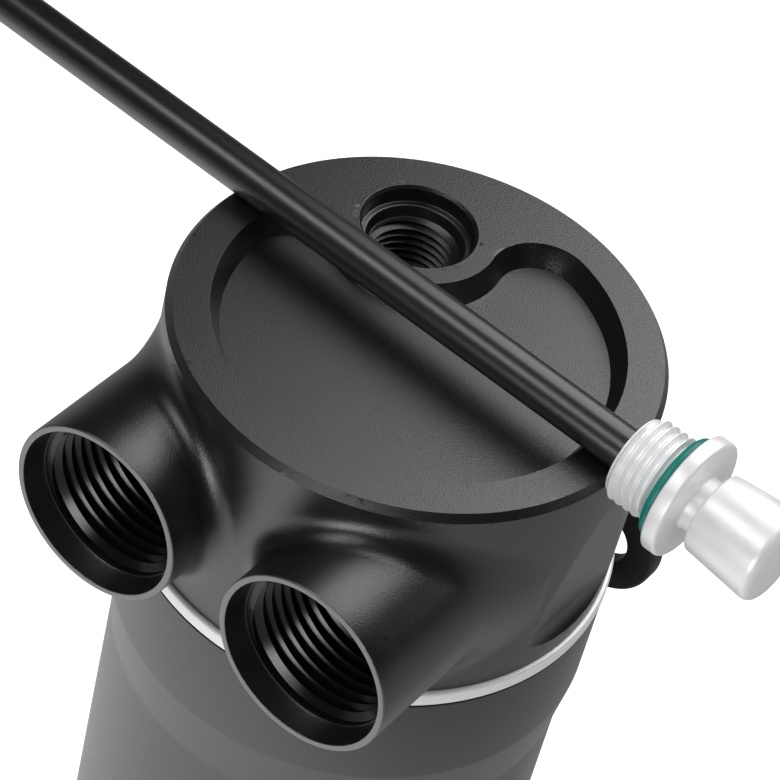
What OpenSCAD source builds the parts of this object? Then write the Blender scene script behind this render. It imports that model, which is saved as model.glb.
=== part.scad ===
// Oil catch can: a machined head with two hose ports, screwed onto a one-piece reservoir.
// Millimetres. +Z is up, the ports face -Y, and the origin is the centre of the base.
// The dipstick is out of its hole and lies across the top of the head.

/* [Reservoir] */
// Height from the base to the top face of the head
total_h = 200; // [180:5:260]
// How far the tube stands back from the head's wall
tube_step = 0.55; // [0.2:0.05:0.9]
// Wall of the tube
tube_wall = 2.7; // [2:0.1:3]
// Thickness of the floor at its edge
floor_t = 11; // [10:0.5:14]
// Fall of the floor from its edge to the drain
floor_fall = 1.5; // [0.5:0.25:2.5]
// How far the collar round the mouth stands out from the head's wall
collar_proud = 0.55; // [0.2:0.05:1.2]
// Length of the collar below the threaded mouth
collar_overlap = 1.5; // [1:0.25:6]
// Height over which the collar tapers down to the tube
collar_taper_h = 9; // [5:0.5:14]
// Radius of the foot's outer edge
foot_r = 3; // [1:0.5:4]
// Depth of the threaded mouth below the spigot's end
mouth_runout = 1.4; // [1:0.2:4]
// Radius of the recess in the base round the drain plug
base_recess_r = 14; // [14:0.5:18]
// Depth of the recess in the base
base_recess_depth = 5; // [4.5:0.5:6]

/* [Head] */
// Radius of the head's wall
head_r = 32.75; // [32.25:0.25:40]
// Width of the chamfer round the top face
face_chamfer_w = 0.75; // [0.3:0.05:1.5]
// Height of the chamfer round the top face
face_chamfer_h = 1.1; // [0.3:0.1:1.4]
// Height of the wall below the port tubes
head_skirt = 2.25; // [2:0.25:8]
// Width of the shoulder outside the spigot
shoulder_w = 3.85; // [3.6:0.05:4.4]
// Length of the threaded spigot below the shoulder
spigot_h = 14.6; // [12:0.2:20]
// Wall of the spigot
spigot_wall = 3.4; // [3:0.1:3.8]
// Thickness of the roof under the pocket
roof_t = 4.4; // [4:0.1:5]

/* [Pocket in the top] */
// Width of the rim that is left round the pocket
rim_w = 4.9; // [3.5:0.1:6]
// Depth of the pocket
pocket_depth = 3.1; // [2:0.1:3.3]
// How far the sloped wall leans in from top to floor
pocket_draft = 1.6; // [0.8:0.1:2.4]
// Width of the land that is left standing round the dipstick hole
land_w = 3.25; // [2.5:0.05:4]
// Radius of the pocket's two corners beside the land
pocket_corner_r = 7.1; // [5:0.1:8]
// Radius of the fillet at the pocket's floor
pocket_fillet_r = 0.9; // [0.4:0.1:1.2]

/* [Ports] */
// Radius of the threaded wall
port_thread_r = 10.4; // [9:0.05:11]
// Length of the threaded wall
port_thread_len = 13; // [10:0.5:14]
// Step from the threaded wall out to the smooth seat at the mouth
port_seat_step = 1.45; // [1:0.05:2]
// Depth of the seat
port_seat_depth = 3.4; // [2:0.1:5]
// Width of the flat rim round the mouth
port_rim_w = 0.9; // [0.6:0.05:1.5]
// Step from the threaded wall in to the passage behind it
port_bore_step = 1.4; // [0.6:0.1:2.5]
// Gap between the two port tubes
port_gap = 7.9; // [5:0.1:9]
// Height of the top face above the port tubes
port_cover = 5.65; // [5:0.05:8]
// How far the port faces stand out from the head's wall
port_proud = 8.25; // [6:0.25:16]

/* [Grip flats] */
// Distance below the top face at which a flat begins
flat_top_drop = 8; // [6:0.5:12]
// Height of the wall that is left below a flat
flat_margin = 1.8; // [1:0.2:5]
// Depth of a flat at its lower end
flat_depth = 1.6; // [0.8:0.1:2.2]
// Radius of the cutter's corner at the lower end
flat_corner_r = 4; // [2.5:0.1:5]

/* [Dipstick hole] */
// Sideways place of the hole
hole_x = -11.6; // [-12.5:0.1:-10.5]
// Place of the hole from front to back
hole_y = 14.9; // [14:0.1:15.5]
// Radius of the threaded wall
hole_thread_r = 5.5; // [5:0.05:5.8]
// Step from the threaded wall out to the counterbore that takes the seal
hole_mouth_step = 2.1; // [1.9:0.05:2.4]
// Depth of the counterbore
hole_mouth_depth = 2.6; // [2:0.1:3]
// Length of the boss under the roof
hole_boss_len = 12.5; // [9:0.5:16]
// Wall of the boss round the counterbore's radius
hole_boss_wall = 2; // [1.5:0.1:2.5]

/* [Dipstick] */
// Radius of the rod
rod_r = 2.9; // [2.5:0.1:3.2]
// Length of the rod outside the plug
rod_len = 176; // [120:2:178]
// Gap between the head's wall and the plug's inner end
plug_gap = 0.55; // [0.5:0.05:4]
// Sideways place of the rod where it crosses the can's axis
lay_y = 0.8; // [0:0.1:1.2]
// Angle of the rod across the head, in degrees
lay_turn = -2.7; // [-3.5:0.1:-1]
// Height of the plug's thread over the hole's threaded wall
plug_thread_h = 0.55; // [0.3:0.05:0.7]
// Length of the plug's thread
plug_thread_len = 6.4; // [5:0.2:8]
// Clearance of the seal on the plug in the counterbore
plug_seal_gap = 0.4; // [0.1:0.05:0.5]
// Thickness of the seal on the plug
plug_seal_t = 1.5; // [1.2:0.1:1.8]
// Width of the plug's flange outside the counterbore
flange_lap = 0.75; // [0.4:0.05:2]
// Thickness of the plug's flange
flange_t = 2.2; // [1.5:0.1:3]
// Radius of the neck between flange and knob
neck_r = 3.7; // [3.2:0.1:4.5]
// Length of the neck
neck_len = 2.2; // [1.5:0.1:4]
// Radius of the knob beside the neck
knob_inner_r = 5.5; // [5:0.1:6]
// Radius of the knob at its end
knob_end_r = 6.5; // [6.1:0.1:7.5]
// Length of the knob
knob_len = 10.5; // [8:0.5:16]

/* [Trim ring] */
// How far the bright ring between head and reservoir stands out from the head's wall
trim_proud = 0.65; // [0.2:0.05:1.2]
// Thickness of the bright ring
trim_h = 2.2; // [1.5:0.1:2.6]
// How far the gasket under it stands back from the head's wall
gasket_step = 0.25; // [0.1:0.05:0.8]
// Thickness of the gasket
gasket_h = 0.8; // [0.5:0.1:1.2]

/* [Bracket] */
// How far the pad for the bracket stands out from the head's wall
pad_proud = 1.45; // [1.3:0.05:4]
// Thickness of the bracket plate
bracket_t = 3; // [2:0.5:5]
// Width of the bracket's upright
upright_w = 30; // [28:1:34]
// Height of the bolts above the mounting holes
lug_fall = 28.9; // [26:0.1:38]
// Distance between the two mounting holes
lug_spacing = 38.4; // [37:0.1:44]
// Radius of the mounting holes
lug_hole_r = 4.5; // [3:0.1:5]
// Width of the plate that is left round a mounting hole
lug_wall = 4.6; // [3.5:0.1:6]
// Radius of the corners between the upright and the lugs
bracket_corner_r = 3; // [1:0.25:4]
// Distance between the two bolts into the head
bolt_spacing = 16; // [14:0.5:17]
// Height of the ports' axes above the bolts
bolt_drop = 4; // [3:0.25:6]

/* [Inside] */
// Distance of the baffle standoffs from the chamber's wall
standoff_inset = 5.5; // [5:0.1:7]
// Distance across the flats of a standoff
standoff_af = 7; // [6:0.5:7]
// Height of the spigot's end above the baffles
stack_gap = 2; // [1:0.5:6]
// Clearance that lets the baffles pass the reservoir's mouth
baffle_gap = 0.5; // [0.3:0.1:1.4]
// Thickness of a baffle plate
baffle_t = 1.2; // [0.8:0.1:2]
// Height of the wire mesh pack between the plates
mesh_h = 10.8; // [6:0.2:16]
// Outer radius of the tube that leads the oil down
down_r = 6; // [5:0.1:6.4]
// Wall of that tube
down_wall = 0.8; // [0.5:0.1:1.2]
// How far that tube reaches below the baffles
down_drip = 8.2; // [4:0.2:30]

/* [Hidden] */

$fn = 96;
// Overlap that keeps a cut clear of the face it starts from
eps = 0.5;
// Running clearance of a shaft or spigot in its bore
running = 0.05;
// Clearance of a part that passes through a hole
pass = 0.3;
// Colours
black_anodised = [0.1, 0.1, 0.105];
bright_alloy = [0.85, 0.85, 0.86];
steel = [0.6, 0.6, 0.62];
rubber_black = [0.05, 0.05, 0.05];
seal_teal = [0.0, 0.42, 0.37];

// Break of a sharp turned edge, and lead-in of a bore
edge = 0.4;
lead_in = 0.6;

// Ports, from the thread outwards
port_bore_r = port_thread_r - port_bore_step;
port_seat_r = port_thread_r + port_seat_step;
port_r = port_seat_r + port_rim_w;
port_spacing = 2 * port_r + port_gap;
port_drop = port_cover + port_r;
port_reach = head_r + port_proud;
port_z = total_h - port_drop;
port_root_y = -12;
// The blend is the largest ball that rolls between the two tubes
port_blend_r = port_gap / 2 - running;
// How far the blend is let into the walls that it joins
blend_sink = 0.03;
blend_root = 1.5;
blend_turns = 40;
blend_steps = 6;

// Radii of the head and the reservoir, from the head's wall
face_r = head_r - face_chamfer_w;
spigot_r = head_r - shoulder_w;
chamber_r = spigot_r - spigot_wall;
mouth_bore_r = spigot_r + 2 * running;
collar_r = head_r + collar_proud;
tube_r = head_r - tube_step;
relief_r = tube_r - tube_wall;
floor_fillet_r = 5;
trim_r = head_r + trim_proud;
gasket_r = head_r - gasket_step;

// Heights of the head and of its joint with the reservoir
head_h = port_drop + port_r + head_skirt;
shoulder_z = total_h - head_h;
trim_z = shoulder_z - trim_h;
mouth_z = trim_z - gasket_h;
spigot_end_z = shoulder_z - spigot_h;
mouth_depth = mouth_z - spigot_end_z + mouth_runout;
collar_z = mouth_z - mouth_depth - collar_overlap;
roof_z = total_h - pocket_depth - roof_t;

// Drain at the centre of the base
drain_r = 5;
drain_seal_t = 1;
drain_seal_r = 8;
drain_flange_r = 8;
drain_flange_t = 2;
drain_thread_len = floor_t - floor_fall - base_recess_depth + drain_seal_t;
drain_key_af = 5;
drain_key_depth = 4;

// The block in the chamber that closes the inlet off, and the way down through it
down_wall_gap = 1.06;
down_turn = 220.6;
down_dist = chamber_r - down_wall_gap - down_r;
down_x = down_dist * cos(down_turn);
down_y = down_dist * sin(down_turn);
down_top_z = port_z - port_bore_r;
block_wall = 1.7;
block_x = -port_spacing / 2 + port_bore_r + block_wall;
block_y = down_y + down_r + block_wall;
block_corner_r = 4;
block_z = spigot_end_z + 6;
inlet_end_y = block_y - 3;
outlet_end_y = -14;

// Dipstick hole
hole_pos = [hole_x, hole_y];
hole_mouth_r = hole_thread_r + hole_mouth_step;
hole_boss_r = hole_mouth_r + hole_boss_wall;
hole_boss_z = roof_z - hole_boss_len;
hole_seat_w = 0.9;
hole_seat_h = 0.8;

// Groove of the spigot's seal
groove_half_w = 1;
spigot_seal_wire_r = 0.9;
spigot_seal_z = spigot_end_z + 2.2;
spigot_seal_ring_r = mouth_bore_r - running - spigot_seal_wire_r;
spigot_groove_r = spigot_seal_ring_r - spigot_seal_wire_r - running;

// Pad on the back of the head, and its bolts
bracket_y = head_r + pad_proud;
lug_r = lug_hole_r + lug_wall;
pad_w = upright_w - 2;
pad_h = 16;
pad_root = 6;
bolt_r = 2.95;
bolt_hole_depth = 7.5;
bolt_grip = 6.5;
bolt_head_r = 5.25;
bolt_head_h = 3.3;
bolt_dome_r = 2.5;
bolt_key_af = 4;
bolt_key_depth = 2;
washer_r = 6.2;
washer_t = 1.2;
bolt_z = port_z - bolt_drop;
lug_z = bolt_z - lug_fall;

// Baffle stack
standoff_angles = [30, 174, 270];
standoff_ring_r = chamber_r - standoff_inset;
stud_r = 1.95;
stud_len = 3;
standoff_z = spigot_end_z - stack_gap;
baffle_r = spigot_r - baffle_gap;
upper_baffle_z = standoff_z - baffle_t;
mesh_z = upper_baffle_z - mesh_h;
lower_baffle_z = mesh_z - baffle_t;
screw_r = 1.95;
screw_bite = 6;
screw_head_r = 3.8;
screw_head_h = 2.2;
screw_key_af = 2.5;
screw_key_depth = 1.4;
perforation_r = 1.6;
perforation_pitch = 6.2;
perforation_rows = 5;
web = 1;
mesh_gap = 0.3;
dip_pass_r = hole_thread_r + 1;
down_len = down_top_z - lower_baffle_z + down_drip;

// Dipstick: the plug is turned about its own axis, with z = 0 at its inner end
rod_grip = 4;
rod_hole_r = rod_r + running;
rod_hole_spare = 0.5;
plug_x = head_r + plug_gap;
plug_thread_r = hole_thread_r + plug_thread_h;
plug_seal_r = hole_mouth_r - plug_seal_gap;
seal_groove_r = plug_seal_r - plug_seal_t - running;
flange_r = hole_mouth_r + flange_lap;
flange_z = plug_thread_len + plug_seal_t;
neck_z = flange_z + flange_t;
knob_z = neck_z + neck_len;
knob_tip_z = knob_z + knob_len;
knob_edge = 1.2;
mark_depth = 0.35;
mark_w = 1.2;
mark_places = [12, 52];

// Points of an arc about c, from angle a to angle b in n steps
function arc(c, r, a, b, n) = [for (i = [0:n]) let (t = a + (b - a) * i / n) c + r * [cos(t), sin(t)]];

// Polar angle of a point
function angle_of(p) = atan2(p[1], p[0]);

// Hexagonal prism, measured across its flats
module hex(af, h) cylinder(r = af / 2 / cos(30), h = h, $fn = 6);

// Ring between two radii
module ring(outer, inner, h) difference() {
    cylinder(r = outer, h = h);
    translate([0, 0, -eps]) cylinder(r = inner, h = h + 2 * eps);
}

// Half section of the reservoir, from the drain's wall outwards
function reservoir_section() = concat(
    [[drain_r, base_recess_depth], [base_recess_r, base_recess_depth], [base_recess_r, 0]],
    arc([tube_r - foot_r, foot_r], foot_r, 270, 360, 8),
    [[tube_r, collar_z - collar_taper_h], [collar_r, collar_z],
     [collar_r, mouth_z - edge], [collar_r - edge, mouth_z],
     [mouth_bore_r + lead_in, mouth_z], [mouth_bore_r, mouth_z - lead_in],
     [mouth_bore_r, mouth_z - mouth_depth], [relief_r, mouth_z - mouth_depth - lead_in]],
    arc([relief_r - floor_fillet_r, floor_t + floor_fillet_r], floor_fillet_r, 0, -90, 8),
    [[drain_r, floor_t - floor_fall]]);

module reservoir() color(black_anodised) rotate_extrude() polygon(reservoir_section());

// Plug with a hexagon socket, screwed into the base from below
module drain_plug() color(bright_alloy) translate([0, 0, base_recess_depth - drain_seal_t]) difference() {
    union() {
        translate([0, 0, -drain_flange_t]) cylinder(r = drain_flange_r, h = drain_flange_t);
        cylinder(r = drain_r - running, h = drain_thread_len);
    }
    translate([0, 0, -drain_flange_t - eps]) hex(drain_key_af, drain_key_depth + eps);
}

module drain_seal() color(seal_teal) translate([0, 0, base_recess_depth - drain_seal_t])
    ring(drain_seal_r, drain_r + running, drain_seal_t);

// Bright turned ring that shows between head and reservoir
module trim_ring() color(bright_alloy) translate([0, 0, trim_z])
    rotate_extrude() polygon([
        [spigot_r + pass, 0], [trim_r - edge / 2, 0], [trim_r, edge / 2],
        [trim_r, trim_h - edge], [trim_r - edge, trim_h], [spigot_r + pass, trim_h]]);

module head_gasket() color(rubber_black) translate([0, 0, mouth_z])
    ring(gasket_r, spigot_r + pass, gasket_h);

// The pocket's outline at an inset of d: the outer arc, two corner arcs and the land's arc.
// Its corners are arcs tangent to the outer circle and to the circle of the land.
pocket_r = face_r - rim_w;
land_r = hole_mouth_r + land_w;
hole_dist = norm(hole_pos);
hole_angle = angle_of(hole_pos);
corner_dist = pocket_r - pocket_corner_r;
land_dist = land_r + pocket_corner_r;
corner_swing = acos((corner_dist * corner_dist + hole_dist * hole_dist - land_dist * land_dist)
    / (2 * corner_dist * hole_dist));
rim_steps = 48;
corner_steps = 8;
land_steps = 18;

function corner_centre(side) = corner_dist
    * [cos(hole_angle + side * corner_swing), sin(hole_angle + side * corner_swing)];

function pocket_outline(d) =
    let (a = corner_centre(1), b = corner_centre(-1),
         outer_a = angle_of(a), outer_span = (angle_of(b) - outer_a + 720) % 360,
         land_a = angle_of(a - hole_pos), land_b = angle_of(b - hole_pos),
         land_span = (land_b - land_a + 720) % 360,
         span_a = (outer_a - land_a - 180 + 720) % 360,
         span_b = (land_b + 180 - angle_of(b) + 720) % 360)
    concat(
        arc([0, 0], pocket_r - d, outer_a, outer_a + outer_span, rim_steps),
        [for (i = [1:corner_steps - 1]) let (t = angle_of(b) + span_b * i / corner_steps)
            b + (pocket_corner_r - d) * [cos(t), sin(t)]],
        arc(hole_pos, land_r + d, land_b, land_b - land_span, land_steps),
        [for (i = [1:corner_steps - 1]) let (t = land_a + 180 + span_a * i / corner_steps)
            a + (pocket_corner_r - d) * [cos(t), sin(t)]]);

// Solid through a list of closed rings, each a list of points and a height. The two end faces are
// zipped from one side to the other, because the outline isn't convex.
module loft(rings) {
    n = len(rings[0][0]);
    last = (len(rings) - 1) * n;
    polyhedron(
        points = [for (r = rings) for (p = r[0]) [p[0], p[1], r[1]]],
        faces = concat(
            [for (i = [0:n / 2 - 2]) each [[i, i + 1, n - 2 - i], [i, n - 2 - i, n - 1 - i]]],
            [for (k = [0:n:last - n]) for (i = [0:n - 1]) let (j = (i + 1) % n)
                each [[k + i, k + n + i, k + n + j], [k + i, k + n + j, k + j]]],
            [for (i = [0:n / 2 - 2]) each [
                [last + i, last + n - 2 - i, last + i + 1],
                [last + i, last + n - 1 - i, last + n - 2 - i]]]));
}

// Shallow pocket with a sloped wall and a fillet, whose run over the floor is a share of its height
module pocket_cut() {
    f = pocket_fillet_r;
    fillet_run = 0.6;
    fillet_steps = 3;
    slope = pocket_draft / pocket_depth;
    loft(concat(
        [for (i = [0:fillet_steps]) let (t = 90 * i / fillet_steps)
            [pocket_outline(pocket_draft - slope * f + (slope + fillet_run) * f * (1 - sin(t))),
             total_h - pocket_depth + f * (1 - cos(t))]],
        [[pocket_outline(-slope * eps), total_h + eps]]));
}

// Counterbore, seat cone and threaded wall of the dipstick hole
module hole_cut() translate([hole_x, hole_y, 0]) rotate_extrude() polygon([
    [0, hole_boss_z - eps], [hole_thread_r, hole_boss_z - eps],
    [hole_thread_r, total_h - hole_mouth_depth - 2 * hole_seat_h],
    [hole_thread_r + hole_seat_w, total_h - hole_mouth_depth - hole_seat_h],
    [hole_mouth_r - edge, total_h - hole_mouth_depth], [hole_mouth_r, total_h - hole_mouth_depth + edge],
    [hole_mouth_r, total_h - edge], [hole_mouth_r + edge + eps, total_h + eps], [0, total_h + eps]]);

// Turned outside of the head, with the spigot and its seal groove
module head_blank() rotate_extrude() polygon([
    [0, spigot_end_z], [spigot_r - lead_in, spigot_end_z], [spigot_r, spigot_end_z + lead_in],
    [spigot_r, spigot_seal_z - groove_half_w], [spigot_groove_r, spigot_seal_z - groove_half_w],
    [spigot_groove_r, spigot_seal_z + groove_half_w], [spigot_r, spigot_seal_z + groove_half_w],
    [spigot_r, shoulder_z], [head_r - edge, shoulder_z], [head_r, shoulder_z + edge],
    [head_r, total_h - face_chamfer_h], [face_r, total_h], [0, total_h]]);

// Chamber inside, around the block of the inlet and the boss of the dipstick hole
module chamber_cut() difference() {
    translate([0, 0, spigot_end_z - eps])
        cylinder(r = chamber_r, h = roof_z - spigot_end_z + eps);
    translate([-2 * head_r + block_x - block_corner_r, -2 * head_r + block_y, block_z])
        cube([2 * head_r, 2 * head_r, head_h]);
    translate([-2 * head_r + block_x, -2 * head_r + block_y - block_corner_r, block_z])
        cube([2 * head_r, 2 * head_r, head_h]);
    translate([block_x - block_corner_r, block_y - block_corner_r, block_z])
        cylinder(r = block_corner_r, h = head_h);
    translate([hole_x, hole_y, hole_boss_z]) cylinder(r = hole_boss_r, h = head_h);
}

// Turns a shape made along +Z so that it runs along +Y
module along_y() rotate([-90, 0, 0]) children();

// Bore of one port: seat, thread and passage up to end_y
module port_cut(x, end_y) translate([x, -port_reach, port_z]) along_y() rotate_extrude() polygon([
    [0, -eps], [port_seat_r + edge / 2 + eps, -eps], [port_seat_r, edge / 2],
    [port_seat_r - edge, port_seat_depth], [port_thread_r + lead_in, port_seat_depth + lead_in],
    [port_thread_r, port_seat_depth + 2 * lead_in],
    [port_thread_r, port_seat_depth + 2 * lead_in + port_thread_len],
    [port_bore_r, port_seat_depth + 2 * lead_in + port_thread_len + port_bore_step],
    [port_bore_r, port_reach + end_y], [0, port_reach + end_y]]);

module port_tube(x) translate([x, -port_reach, port_z]) along_y() rotate_extrude() polygon([
    [0, 0], [port_r - edge / 2, 0], [port_r, edge / 2],
    [port_r, port_reach + port_root_y], [0, port_reach + port_root_y]]);

// Section of the blend at angle t round the tube at x: an arc of the ball that rolls along
// tube and wall, from the tube to the wall, and one point deep inside both
function blend_section(x, t) =
    let (side = [cos(t), sin(t)],
         ball_x = x + (port_r + port_blend_r) * side[0],
         ball_z = port_z + (port_r + port_blend_r) * side[1],
         wall_reach = head_r + port_blend_r,
         ball_y = -sqrt(max(0, wall_reach * wall_reach - ball_x * ball_x)),
         ball = [ball_x, ball_y, ball_z],
         to_tube = [-side[0], 0, -side[1]],
         to_wall = -[ball_x, ball_y, 0] / norm([ball_x, ball_y]),
         sweep = acos(to_tube * to_wall),
         root_x = x + (port_r - blend_root) * side[0],
         root_reach = head_r - blend_root,
         root_y = -sqrt(max(0, root_reach * root_reach - root_x * root_x)))
    concat(
        [for (i = [0:blend_steps]) let (a = sweep * i / blend_steps)
            ball + (port_blend_r + blend_sink) * (to_tube * sin(sweep - a) + to_wall * sin(a)) / sin(sweep)],
        [[root_x, root_y, port_z + (port_r - blend_root) * side[1]]]);

// Blend between one port tube and the head's wall, cut off above the bright ring
module port_blend(x) {
    n = blend_steps + 2;
    intersection() {
        polyhedron(
            points = [for (k = [0:blend_turns - 1]) each blend_section(x, 360 * k / blend_turns)],
            faces = [for (k = [0:blend_turns - 1]) for (i = [0:n - 1])
                let (a = k * n, b = (k + 1) % blend_turns * n, j = (i + 1) % n)
                each [[a + i, b + i, b + j], [a + i, b + j, a + j]]]);
        translate([-2 * head_r, -2 * head_r, shoulder_z + edge]) cube(4 * head_r);
    }
}

// Leaning flat on the side of the head, with a round corner at its lower end
module flat_cut() {
    corner_turn = acos((flat_corner_r - flat_depth) / flat_corner_r);
    end_z = shoulder_z + flat_margin;
    corner_z = end_z + flat_corner_r * sin(corner_turn);
    beyond = head_r + flat_corner_r;
    translate([0, head_r, 0]) rotate([90, 0, 0]) linear_extrude(height = 2 * head_r)
        polygon(concat(
            [[head_r, total_h - flat_top_drop]],
            arc([head_r - flat_depth + flat_corner_r, corner_z], flat_corner_r, 180, 180 + corner_turn, 8),
            [[beyond, end_z], [beyond, total_h - flat_top_drop]]));
}

module head() color(black_anodised) difference() {
    union() {
        difference() {
            head_blank();
            for (side = [0, 1]) mirror([side, 0, 0]) flat_cut();
        }
        for (side = [-1, 1]) {
            port_tube(side * port_spacing / 2);
            port_blend(side * port_spacing / 2);
        }
        translate([-pad_w / 2, head_r - pad_root, bolt_z - pad_h / 2])
            cube([pad_w, pad_proud + pad_root, pad_h]);
    }
    chamber_cut();
    pocket_cut();
    hole_cut();
    port_cut(-port_spacing / 2, inlet_end_y);
    port_cut(port_spacing / 2, outlet_end_y);
    translate([down_x, down_y, block_z - eps])
        cylinder(r = down_r + running / 2, h = port_z - block_z + eps);
    for (a = standoff_angles) rotate([0, 0, a]) translate([standoff_ring_r, 0, roof_z - eps])
        cylinder(r = stud_r + running, h = stud_len + pass + eps);
    for (side = [-1, 1]) translate([side * bolt_spacing / 2, bracket_y - bolt_hole_depth, bolt_z])
        along_y() cylinder(r = bolt_r + running, h = bolt_hole_depth + eps);
}

// Round seal in the spigot's groove
module spigot_seal() color(rubber_black) translate([0, 0, spigot_seal_z])
    rotate_extrude() translate([spigot_seal_ring_r, 0]) circle(r = spigot_seal_wire_r, $fn = 24);

// Puts a shape turned about +Z, with z = 0 at the plug's inner end, where the dipstick lies
module lay_dipstick() translate([0, lay_y, total_h + rod_r]) rotate([0, 0, lay_turn])
    translate([plug_x, 0, 0]) rotate([0, 90, 0]) children();

module dipstick_rod() color(black_anodised) lay_dipstick() difference() {
    translate([0, 0, -rod_len]) cylinder(r = rod_r, h = rod_len + rod_grip, $fn = 48);
    for (s = mark_places) translate([0, 0, -rod_len + s])
        ring(rod_r + eps, rod_r - mark_depth, mark_w);
}

// Thread, seal groove, flange, neck and knob, turned from one bar
module dipstick_plug() color(bright_alloy) lay_dipstick() rotate_extrude() polygon([
    [0, rod_grip + rod_hole_spare], [rod_hole_r, rod_grip + rod_hole_spare], [rod_hole_r, 0],
    [plug_thread_r - lead_in, 0], [plug_thread_r, lead_in],
    [plug_thread_r, plug_thread_len - edge], [seal_groove_r, plug_thread_len], [seal_groove_r, flange_z],
    [flange_r - edge / 2, flange_z], [flange_r, flange_z + edge / 2],
    [flange_r, neck_z - edge], [flange_r - edge, neck_z],
    [neck_r, neck_z], [neck_r, knob_z],
    [knob_inner_r - edge, knob_z], [knob_inner_r, knob_z + edge],
    [knob_end_r, knob_tip_z - knob_edge], [knob_end_r - knob_edge / 3, knob_tip_z - knob_edge / 3],
    [knob_end_r - knob_edge, knob_tip_z], [0, knob_tip_z]]);

module dipstick_seal() color(seal_teal) lay_dipstick() translate([0, 0, flange_z - plug_seal_t / 2])
    rotate_extrude() translate([plug_seal_r - plug_seal_t / 2, 0])
        circle(r = plug_seal_t / 2, $fn = 24);

// Right half of the bracket's outline, seen from behind, from its top down to its foot
function bracket_half() =
    let (x = upright_w / 2, inner = bracket_corner_r, arm_top = lug_z + lug_r)
    concat(
        arc([x - inner, bolt_z + pad_h / 2 - inner], inner, 90, 0, 6),
        arc([x + inner, arm_top + inner], inner, 180, 270, 6),
        arc([lug_spacing / 2, lug_z], lug_r, 90, -90, 24));

// Upright and two lugs, cut from one plate
module bracket() color(black_anodised) difference() {
    translate([0, bracket_y + bracket_t, 0]) rotate([90, 0, 0]) linear_extrude(height = bracket_t)
        polygon(concat(bracket_half(),
            [for (i = [len(bracket_half()) - 1:-1:0]) [-bracket_half()[i][0], bracket_half()[i][1]]]));
    for (side = [-1, 1]) {
        translate([side * lug_spacing / 2, bracket_y - eps, lug_z])
            along_y() cylinder(r = lug_hole_r, h = bracket_t + 2 * eps);
        translate([side * bolt_spacing / 2, bracket_y - eps, bolt_z])
            along_y() cylinder(r = bolt_r + pass, h = bracket_t + 2 * eps);
    }
}

// Places of the two bolts, with +Z of the child pointing out of the bracket
module at_bolt(i) translate([(i == 1 ? -1 : 1) * bolt_spacing / 2, bracket_y + bracket_t, bolt_z])
    along_y() children();

module bracket_washer(i) color(steel) at_bolt(i) ring(washer_r, bolt_r + pass, washer_t);

module bracket_bolt(i) color(steel) at_bolt(i) translate([0, 0, washer_t]) difference() {
    union() {
        rotate_extrude() polygon(concat(
            [[0, 0], [bolt_head_r, 0]],
            arc([bolt_head_r - bolt_dome_r, bolt_head_h - bolt_dome_r], bolt_dome_r, 0, 90, 6),
            [[0, bolt_head_h]]));
        translate([0, 0, -washer_t - bracket_t - bolt_grip])
            cylinder(r = bolt_r, h = washer_t + bracket_t + bolt_grip);
    }
    translate([0, 0, bolt_head_h - bolt_key_depth]) hex(bolt_key_af, bolt_key_depth + eps);
}

// Places of the three standoffs, at their lower end
module at_standoff(i) rotate([0, 0, standoff_angles[i - 1]])
    translate([standoff_ring_r, 0, standoff_z]) children();

module standoff(i) color(steel) at_standoff(i) difference() {
    union() {
        hex(standoff_af, roof_z - standoff_z);
        translate([0, 0, roof_z - standoff_z]) cylinder(r = stud_r, h = stud_len);
    }
    translate([0, 0, -eps]) cylinder(r = screw_r + running, h = screw_bite + web + eps);
}

module baffle_screw(i) color(steel) at_standoff(i) difference() {
    union() {
        translate([0, 0, lower_baffle_z - standoff_z])
            cylinder(r = screw_r, h = standoff_z - lower_baffle_z + screw_bite);
        translate([0, 0, lower_baffle_z - standoff_z - screw_head_h])
            cylinder(r = screw_head_r, h = screw_head_h);
    }
    translate([0, 0, lower_baffle_z - standoff_z - screw_head_h - eps])
        hex(screw_key_af, screw_key_depth + eps);
}

// True where a perforation at p stays clear of the edge and of the three kinds of hole
function perforation_fits(p) =
    norm(p) < baffle_r - perforation_r - web
    && norm(p - hole_pos) > dip_pass_r + perforation_r + web
    && norm(p - [down_x, down_y]) > down_r + pass + perforation_r + web
    && min([for (a = standoff_angles) norm(p - standoff_ring_r * [cos(a), sin(a)])])
        > screw_head_r + perforation_r + web;

// Centres of the perforations, on a triangular grid
function perforations() = [for (i = [-perforation_rows:perforation_rows])
    for (j = [-perforation_rows:perforation_rows])
    let (p = perforation_pitch * [i + (j % 2 == 0 ? 0 : 0.5), j * sin(60)])
    if (perforation_fits(p)) p];

// Holes that the dipstick, the down tube and the screws need, through h
module stack_holes(h) {
    translate([hole_x, hole_y, -eps]) cylinder(r = dip_pass_r, h = h + 2 * eps);
    translate([down_x, down_y, -eps]) cylinder(r = down_r + pass, h = h + 2 * eps);
    for (a = standoff_angles) rotate([0, 0, a]) translate([standoff_ring_r, 0, -eps])
        cylinder(r = screw_r + pass, h = h + 2 * eps);
}

module baffle() difference() {
    cylinder(r = baffle_r, h = baffle_t);
    stack_holes(baffle_t);
    for (p = perforations()) translate([p[0], p[1], -eps])
        cylinder(r = perforation_r, h = baffle_t + 2 * eps, $fn = 24);
}

module upper_baffle() color(steel) translate([0, 0, upper_baffle_z]) baffle();
module lower_baffle() color(steel) translate([0, 0, lower_baffle_z]) baffle();

module mesh_pack() color(steel) translate([0, 0, mesh_z]) difference() {
    cylinder(r = baffle_r - mesh_gap, h = mesh_h);
    stack_holes(mesh_h);
}

module down_tube() color(bright_alloy) translate([down_x, down_y, down_top_z - down_len])
    ring(down_r, down_r - down_wall, down_len);

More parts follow.
